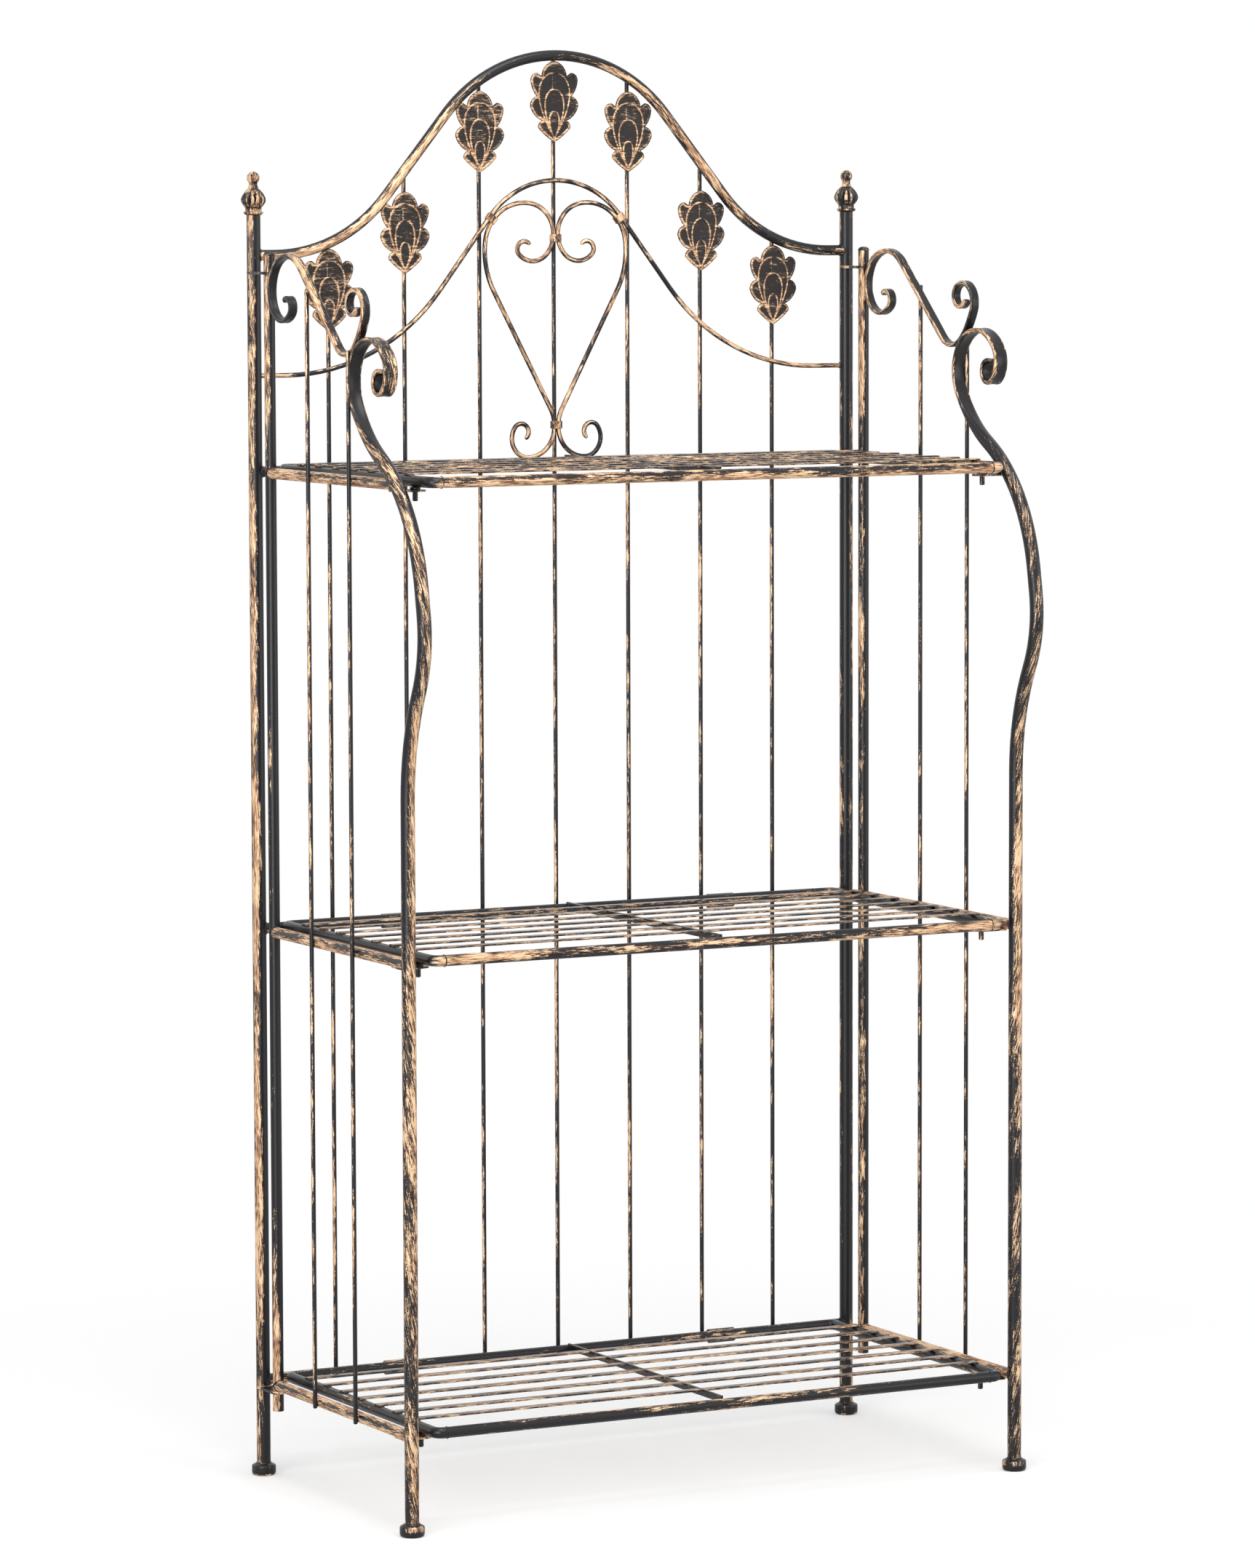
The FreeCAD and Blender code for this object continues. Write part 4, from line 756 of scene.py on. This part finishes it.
SIDE_RODS = ((162.0, 1376.3), (269.5, 1313.05))
BAR_ENDS = (396.0, 396.0, 372.14)
for side, sign in SIDES:
    bars = []
    for number, ((_, height), front) in enumerate(zip(TIERS, BAR_ENDS)):
        rear_end = at(sign * HALF_WIDTH, REAR_FORWARD + TUBE_RADIUS - NOTCH, height)
        front_end = at(sign * HALF_WIDTH, front - POST_RADIUS + NOTCH, height)
        bars.append(bar(rear_end, front_end, ring_of(TUBE_RADIUS), seed=67 + sign + 3 * number, gold=0.58,
                        stripe=(-0.10, 0, -0.30)))
    piece(f"side_bar_set_{side}", bars, tube_enamel, "frame", f"side_bars_{side}")
    rods = []
    for forward, top in SIDE_RODS:
        foot = at(sign * (HALF_WIDTH + TUBE_RADIUS + ROD_RADIUS), forward, ROD_FOOT)
        rods.append(upright_rod(foot, top - ROD_FOOT, seed=71 + sign + forward, gold=0.02))
    piece(f"side_rod_pair_{side}", rods, rod_enamel, "frame", f"side_rods_{side}")


# -------------------------------------------------------------------- shelves
# A 12.7 mm tube bent round four tight corners, with seven flat slats welded across it, a batten under their
# middles, two sleeves that turn on the crossbar, and two pins with collars that drop into the side tabs.

LEVEL_PLANE = (np.array([1.0, 0, 0]), np.array([0, -1.0, 0]))
RISE = 3.0
# A sleeve has a 2 mm wall and 0.1 mm of play; its rows run up outside and back down its bore.
SLEEVE_START, SLEEVE_RADIUS = 199.0, TUBE_RADIUS + 0.1 + 2.0
SLEEVE_ROWS = np.array([0.0, 0.0, 0.4, 33.6, 34.0, 34.0, 33.6, 0.4])
SLEEVE_RADII = np.array([6.85, 8.05, 8.45, 8.45, 8.05, 6.85, 6.45, 6.45])
SHELF_REAR = math.sqrt((TUBE_RADIUS + SLEEVE_RADIUS) ** 2 - RISE ** 2)
SHELF_FRONT = 405.0
SHELF_MIDDLE = (SHELF_FRONT + SHELF_REAR) / 2
RAIL = 363.0
CORNER = 9.0
SLAT_PITCH, SLAT_HALF, SLAT_DEPTH, SLAT_END = 46.5, 6.0, 1.0, RAIL + 3
SLAT_STEPS = range(-3, 4)
# The batten stands on edge, 3 mm wide and 8 mm high.
BATTEN_HALF, BATTEN_DEPTH, BATTEN_DROP = 1.5, 4.0, 1.5
BATTEN_INSET = math.sqrt(TUBE_RADIUS ** 2 - (TUBE_RADIUS - 3) ** 2)
PIN_FORWARD, PIN_LENGTH = 364.0, 19.0
# Each front rail's share of gold on its right and left half, and how it leans.
FRONT_RAILS = {"bottom": ((0.22, 0.34), (0, -0.03, 0.20)), "middle": ((0.46, 0.38), (-0.08, -0.20, 0.02)),
               "top": ((0.46, 0.50), (0, -0.13, -0.22))}
# Rubbed by what stands on the slats: glossier enamel, and thinner gold in short marks with wide brown edges.
slat_enamel = brushed_enamel("worn_slat_enamel", ((90.0, 9.0, 0.35), (26.0, 6.0, 0.35), (10.0, 1.2, 0.5),
                                                  (1.7, 1.3, 0.3)), gloss=0.22, edge=0.14)


def flat_strip(half_width, half_thickness, corner):
    """Rectangle with rounded corners as (side, across) pairs: corner centre plus corner * (cos, sin)."""
    turn = np.linspace(0, math.pi / 2, 4)
    quarter = np.concatenate([turn, turn + math.pi / 2, turn + math.pi, turn + 3 * math.pi / 2])
    signs = np.array([[1, 1], [-1, 1], [-1, -1], [1, -1]]).repeat(4, 0)
    middle = signs * np.array([half_thickness - corner, half_width - corner])
    return middle + corner * np.stack([np.cos(quarter), np.sin(quarter)], 1)


half, depth = RAIL - CORNER, SHELF_FRONT - SHELF_REAR - 2 * CORNER
loop = bent((0, SHELF_REAR), 0, [(half,), (CORNER, 90), (depth,), (CORNER, 90), (2 * half,), (CORNER, 90),
                                 (depth,), (CORNER, 90), (half - 1,)])
heading = np.degrees(loop[1])
for number, (tier, tier_height) in enumerate(TIERS):
    height, body = tier_height + RISE, f"shelf_{tier}"
    crest = height + TUBE_RADIUS
    (right_share, left_share), brushed = FRONT_RAILS[tier]
    share = np.interp(heading, (0, 90, 179, 180.5, 270, 360),
                      (0.46, 0.40, right_share, left_share, 0.31, 0.46))
    share = np.where(np.isclose(heading, 180) & (loop[0][:, 0] < 0), left_share, share)
    facing = np.interp(heading, (0, 90, 180, 270, 360), (0, 0, 1, 0, 0))[:, None] * np.array(brushed)
    tube = carried(loop, LEVEL_PLANE, at(0, 0, height), ring_of(TUBE_RADIUS), seed=79 + 5 * number,
                   gold=share[:, None], stripe=facing, closed=True)
    piece(f"rail_loop_{tier}", [tube], tube_enamel, body, f"shelf_{tier}_frame")
    slats = []
    for step in SLAT_STEPS:
        forward = SHELF_MIDDLE + step * SLAT_PITCH
        slats.append(bar(at(-SLAT_END, forward, crest + SLAT_DEPTH), at(SLAT_END, forward, crest + SLAT_DEPTH),
                         flat_strip(SLAT_HALF, SLAT_DEPTH, 0.6), seed=83 + step + 9 * number, gold=0.46,
                         stripe=(0, -0.10, 0)))
    piece(f"slat_set_{tier}", slats, slat_enamel, body, f"shelf_{tier}_slats", finish="slat_paint")
    low = crest - BATTEN_DROP
    batten = bar(at(0, SHELF_REAR + BATTEN_INSET, low), at(0, SHELF_FRONT - BATTEN_INSET, low),
                 flat_strip(BATTEN_HALF, BATTEN_DEPTH, 0.5), seed=89 + number, gold=0.45)
    piece(f"batten_{tier}", [batten], slat_enamel, body, f"shelf_{tier}_batten", finish="slat_paint")
    pins, sleeves = [], []
    tip, seat = tier_height - PIN_LENGTH, tier_height - TUBE_RADIUS
    pin_profile = ((0.3, tip), (2.2, tip), (3.0, tip + 0.8), (3.0, seat - 0.1), (5.4, seat), (6.0, seat + 0.5),
                   (6.0, seat + 2.5), (5.4, seat + 3.0), (2.0, seat + 3.0))
    for _, sign in SIDES:
        pins.append(turned(pin_profile, at(sign * RAIL, PIN_FORWARD, 0), around=24, seed=97 + sign, gold=0.47))
        outwards = (np.array([sign * 1.0, 0, 0]), np.array([0, 0, 1.0]))
        sleeves.append(carried(straight_run(SLEEVE_ROWS), outwards, at(sign * SLEEVE_START, 0, tier_height),
                               ring_of(1.0) * SLEEVE_RADII[:, None, None], seed=101 + sign + number, gold=0.45,
                               closed=True))
    piece(f"drop_pins_{tier}", pins, tube_enamel, body, f"shelf_{tier}_pins")
    piece(f"hinge_sleeve_pair_{tier}", sleeves, tube_enamel, body, f"shelf_{tier}_sleeves")


# ---------------------------------------------------------------- weld beads
# Beads left by the welder where the tubes, bars and rods meet, painted over with the rest. The brush passed
# over them lightly. The dark spots under the slat ends are also painted shade, where the slats overhang the
# rails.

X, Y, Z = np.eye(3)
HEART_FOOT_ACROSS = 37.4
# The post's radius where the bell rod meets it, off the post's middle.
POST_AT_BELL = 7.14
SPOT_LIFT = 2.6
JOINT_INSET, JOINT_BEAD = 12, 0.7
SEAM_STEPS, SEAM_FORWARD, SEAM_LIFT = (6, 17, 28), SHELF_REAR * 0.57, 5.2


def bead(points, thickness, seed):
    """Closed bead along a closed curve, its radius thickness * (1 + 0.22 sin(lumps)) about the curve."""
    along = np.roll(points, -1, 0) - np.roll(points, 1, 0)
    along = along / np.linalg.norm(along, axis=1, keepdims=True)
    outward = points - points.mean(0)
    outward = outward - (outward * along).sum(1, keepdims=True) * along
    outward = outward / np.linalg.norm(outward, axis=1, keepdims=True)
    third = np.cross(along, outward)
    turn = np.linspace(0, 2 * math.pi, 10, endpoint=False)[:, None]
    step = np.arange(len(points))
    radius = thickness * (1 + 0.22 * np.sin(step * 1.9 + seed) + 0.1 * np.sin(step * 0.7 + 2 * seed))
    around = outward[:, None] * np.cos(turn) + third[:, None] * np.sin(turn)
    rings = points[:, None] + radius[:, None, None] * around
    return rings, rings + seed * 53.0, np.full(rings.shape[:2], 0.36), True


def saddle(centre, branch, branch_radius, main_radius, thickness=1.1, seed=0.0):
    """Bead where a branch tube meets an upright tube: branch circle pushed out to the upright's surface."""
    third = np.cross(branch, Z)
    turn = np.linspace(0, 2 * math.pi, 32, endpoint=False)
    lift = np.sqrt(np.maximum(main_radius ** 2 - (branch_radius * np.sin(turn)) ** 2, 0))
    points = (centre + branch_radius * (np.cos(turn)[:, None] * Z + np.sin(turn)[:, None] * third)
              + lift[:, None] * branch)
    return bead(points, thickness, seed)


def spot(centre, size, seed):
    """Spot of weld: an ellipsoid whose radius swells by 0.12 sin(3 turn + seed)."""
    lift = np.linspace(-1.45, 1.45, 9)[:, None]
    turn = np.linspace(0, 2 * math.pi, 14, endpoint=False)[None]
    swell = 1 + 0.12 * np.sin(3 * turn + seed) * np.cos(lift)
    offset = np.stack([size[0] * np.cos(lift) * np.cos(turn) * swell,
                       size[1] * np.cos(lift) * np.sin(turn) * swell, size[2] * np.sin(lift) + 0 * turn], -1)
    return centre + offset, offset + seed * 41.0, np.full(offset.shape[:2], 0.40), False


def rod_spots(across, forward, height, size, seed):
    """Two spots where a rod crosses a bar, one over and one under the bar's middle."""
    return [spot(at(across, forward, height + lift * SPOT_LIFT), size, seed + lift) for lift in (-1, 1)]


back_welds = []
for _, sign in SIDES:
    inwards, edge = -sign * X, sign * HALF_WIDTH
    for number, (_, height) in enumerate(TIERS):
        back_welds.append(saddle(at(edge, 0, height), inwards, TUBE_RADIUS, POST_RADIUS, seed=number + sign))
    back_welds += [
        saddle(at(edge, 0, ARCH_FOOT), inwards, TUBE_RADIUS, POST_RADIUS, seed=5 + sign),
        saddle(at(edge, SCROLL_FORWARD, BELL_FOOT), inwards, SCROLL_RADIUS, POST_AT_BELL, 0.9, seed=7 + sign),
        spot(at(sign * HEART_FOOT_ACROSS, SCROLL_FORWARD + 2.0, TIERS[2][1] + TUBE_RADIUS + 0.3),
             (3.0, 2.4, 2.2), 9 + sign)]
for number in range(1, 8):
    for _, height in TIERS:
        back_welds += rod_spots((number - 4) * ROD_PITCH, -TUBE_RADIUS, height, (3.0, 1.2, 1.7), number)
piece("back_welds", back_welds, tube_enamel, "frame")

for side, sign in SIDES:
    side_welds = []
    for number, ((_, height), front) in enumerate(zip(TIERS, BAR_ENDS)):
        side_welds += [saddle(at(sign * HALF_WIDTH, REAR_FORWARD, height), -Y, TUBE_RADIUS, TUBE_RADIUS,
                              seed=11 + number),
                       saddle(at(sign * HALF_WIDTH, front, height), Y, TUBE_RADIUS, POST_RADIUS,
                              seed=13 + number)]
        for forward, _ in SIDE_RODS:
            side_welds += rod_spots(sign * (HALF_WIDTH + TUBE_RADIUS), forward, height, (1.2, 3.0, 1.7),
                                    15 + number)
    place = at(sign * BAR_OUTER, REAR_FORWARD + TUBE_RADIUS, BAR_CONTACT[1] - 3)
    side_welds.append(spot(place, (3.8, 1.6, 8.0), 17 + sign))
    piece(f"side_welds_{side}", side_welds, tube_enamel, "frame")

turn = np.linspace(0, 2 * math.pi, 32, endpoint=False)[:, None]
rail_ring = TUBE_RADIUS * (np.cos(turn) * Y + np.sin(turn) * Z)
for tier, tier_height in TIERS:
    crest = tier_height + RISE + TUBE_RADIUS
    shelf_welds_and_shade = []
    for _, sign in SIDES:
        # Under each slat end a dark spot sits on the rail. It is a weld, and its dark paint also stands for the
        # shade under the overhanging slat end: painted shade.
        for step in SLAT_STEPS:
            for edge in (-1, 1):
                place = at(sign * RAIL, SHELF_MIDDLE + step * SLAT_PITCH + edge * SLAT_HALF, crest - 0.2)
                shelf_welds_and_shade.append(spot(place, (3.6, 1.6, 1.3), step + edge + sign))
        joint = at(sign * (RAIL - JOINT_INSET), SHELF_FRONT, tier_height + RISE)
        shelf_welds_and_shade.append(bead(joint + rail_ring, JOINT_BEAD, 19 + sign))
        for along in SEAM_STEPS:
            place = at(sign * (SLEEVE_START + along), SEAM_FORWARD, tier_height + SEAM_LIFT)
            shelf_welds_and_shade.append(spot(place, (3.0, 1.6, 1.1), along + sign))
    piece(f"shelf_welds_and_shade_{tier}", shelf_welds_and_shade, tube_enamel, f"shelf_{tier}")


# --------------------------------------------------------------------- studio
# A white sweep lit by three large soft lamps and an even sky, with the camera far off at the front left.
# The floor keeps the rack's shadow near it and passes to plain white for the camera further out.

scene = bpy.context.scene
scene.view_settings.view_transform = "Standard"
floor_mesh = bpy.data.meshes.new("studio_floor")
floor_mesh.from_pydata([(-12, -12, 0), (12, -12, 0), (12, 12, 0), (-12, 12, 0)], [], [(0, 1, 2, 3)])
floor = bpy.data.objects.new("studio_floor", floor_mesh)
scene.collection.objects.link(floor)
sweep = bpy.data.materials.new("white_paper_sweep")
sweep.use_nodes = True
tree = sweep.node_tree
tree.nodes.clear()
matt = node(tree, "ShaderNodeBsdfDiffuse", Color=(0.78, 0.78, 0.78, 1))
glow = node(tree, "ShaderNodeEmission", Color=linear("#FFFFFF"), Strength=0.28)
white = node(tree, "ShaderNodeEmission", Color=linear("#FFFFFF"), Strength=1.0)
near = node(tree, "ShaderNodeAddShader", _0=matt.outputs[0], _1=glow.outputs[0])
place = node(tree, "ShaderNodeTexCoord").outputs["Object"]
away = node(tree, "ShaderNodeVectorMath", {"operation": "LENGTH"}, _0=place)
far = node(tree, "ShaderNodeMapRange", {"interpolation_type": "SMOOTHSTEP"}, Value=away.outputs["Value"],
           From_Min=0.7, From_Max=1.6)
seen_floor = node(tree, "ShaderNodeMixShader", Fac=far.outputs[0], _1=near.outputs[0], _2=white.outputs[0])
rays = node(tree, "ShaderNodeLightPath").outputs["Is Camera Ray"]
mixed = node(tree, "ShaderNodeMixShader", Fac=rays, _1=matt.outputs[0], _2=seen_floor.outputs[0])
node(tree, "ShaderNodeOutputMaterial", Surface=mixed.outputs[0])
floor_mesh.materials.append(sweep)

sky = bpy.data.worlds.new("studio_sky")
scene.world = sky
sky.use_nodes = True
tree = sky.node_tree
backdrop = tree.nodes["Background"]
rays = node(tree, "ShaderNodeLightPath").outputs
seen = rays["Is Camera Ray"]
for kind in ("Is Glossy Ray", "Is Transmission Ray"):
    seen = node(tree, "ShaderNodeMath", {"operation": "MAXIMUM"}, _0=seen, _1=rays[kind]).outputs[0]
strength = node(tree, "ShaderNodeMapRange", Value=seen, To_Min=0.6, To_Max=1.0)
tree.links.new(strength.outputs[0], backdrop.inputs["Strength"])
backdrop.inputs["Color"].default_value = linear("#FFFFFF")

# Place and size in metres, power in watts; all three look at the rack's middle.
SOFTBOXES = (("key_softbox", (-3.5, -2.6, 1.3), 2.4, 85.0), ("fill_softbox", (3.0, -2.8, 1.3), 2.2, 25.0),
             ("top_softbox", (-0.4, -1.4, 3.4), 2.2, 60.0))
LIT_MIDDLE = Vector((0, 0, 0.8))
for name, place, size, power in SOFTBOXES:
    lamp = bpy.data.lights.new(name, "AREA")
    lamp.size = size
    lamp.energy = power
    softbox = bpy.data.objects.new(name, lamp)
    softbox.location = place
    softbox.rotation_mode = "QUATERNION"
    softbox.rotation_quaternion = (LIT_MIDDLE - Vector(place)).to_track_quat("-Z", "Y")
    scene.collection.objects.link(softbox)

# Yaw, pitch and roll in degrees, place in metres; the image plane's distance in pixels of the frame's
# height, which the sensor's longer side, in millimetres, spans.
CAMERA_TURN = (27.7197, 5.3170, -0.1792)
CAMERA_PLACE = (-3.47457, -6.56854, 1.49918)
CAMERA_REACH, FRAME_HEIGHT, SENSOR = 8906.35, 2156, 36.0
yaw, pitch, roll = (math.radians(angle) for angle in CAMERA_TURN)
look = Vector((math.sin(yaw) * math.cos(pitch), math.cos(yaw) * math.cos(pitch), -math.sin(pitch)))
level = Vector((math.cos(yaw), -math.sin(yaw), 0))
upright = level.cross(look)
right = math.cos(roll) * level + math.sin(roll) * upright
up = -math.sin(roll) * level + math.cos(roll) * upright
camera_data = bpy.data.cameras.new("camera")
camera_data.sensor_width = SENSOR
camera_data.lens = SENSOR * CAMERA_REACH / FRAME_HEIGHT
camera_data.clip_end = 60
camera = bpy.data.objects.new("camera", camera_data)
camera.matrix_world = Matrix((right, up, -look)).transposed().to_4x4()
camera.location = CAMERA_PLACE
scene.collection.objects.link(camera)
scene.camera = camera
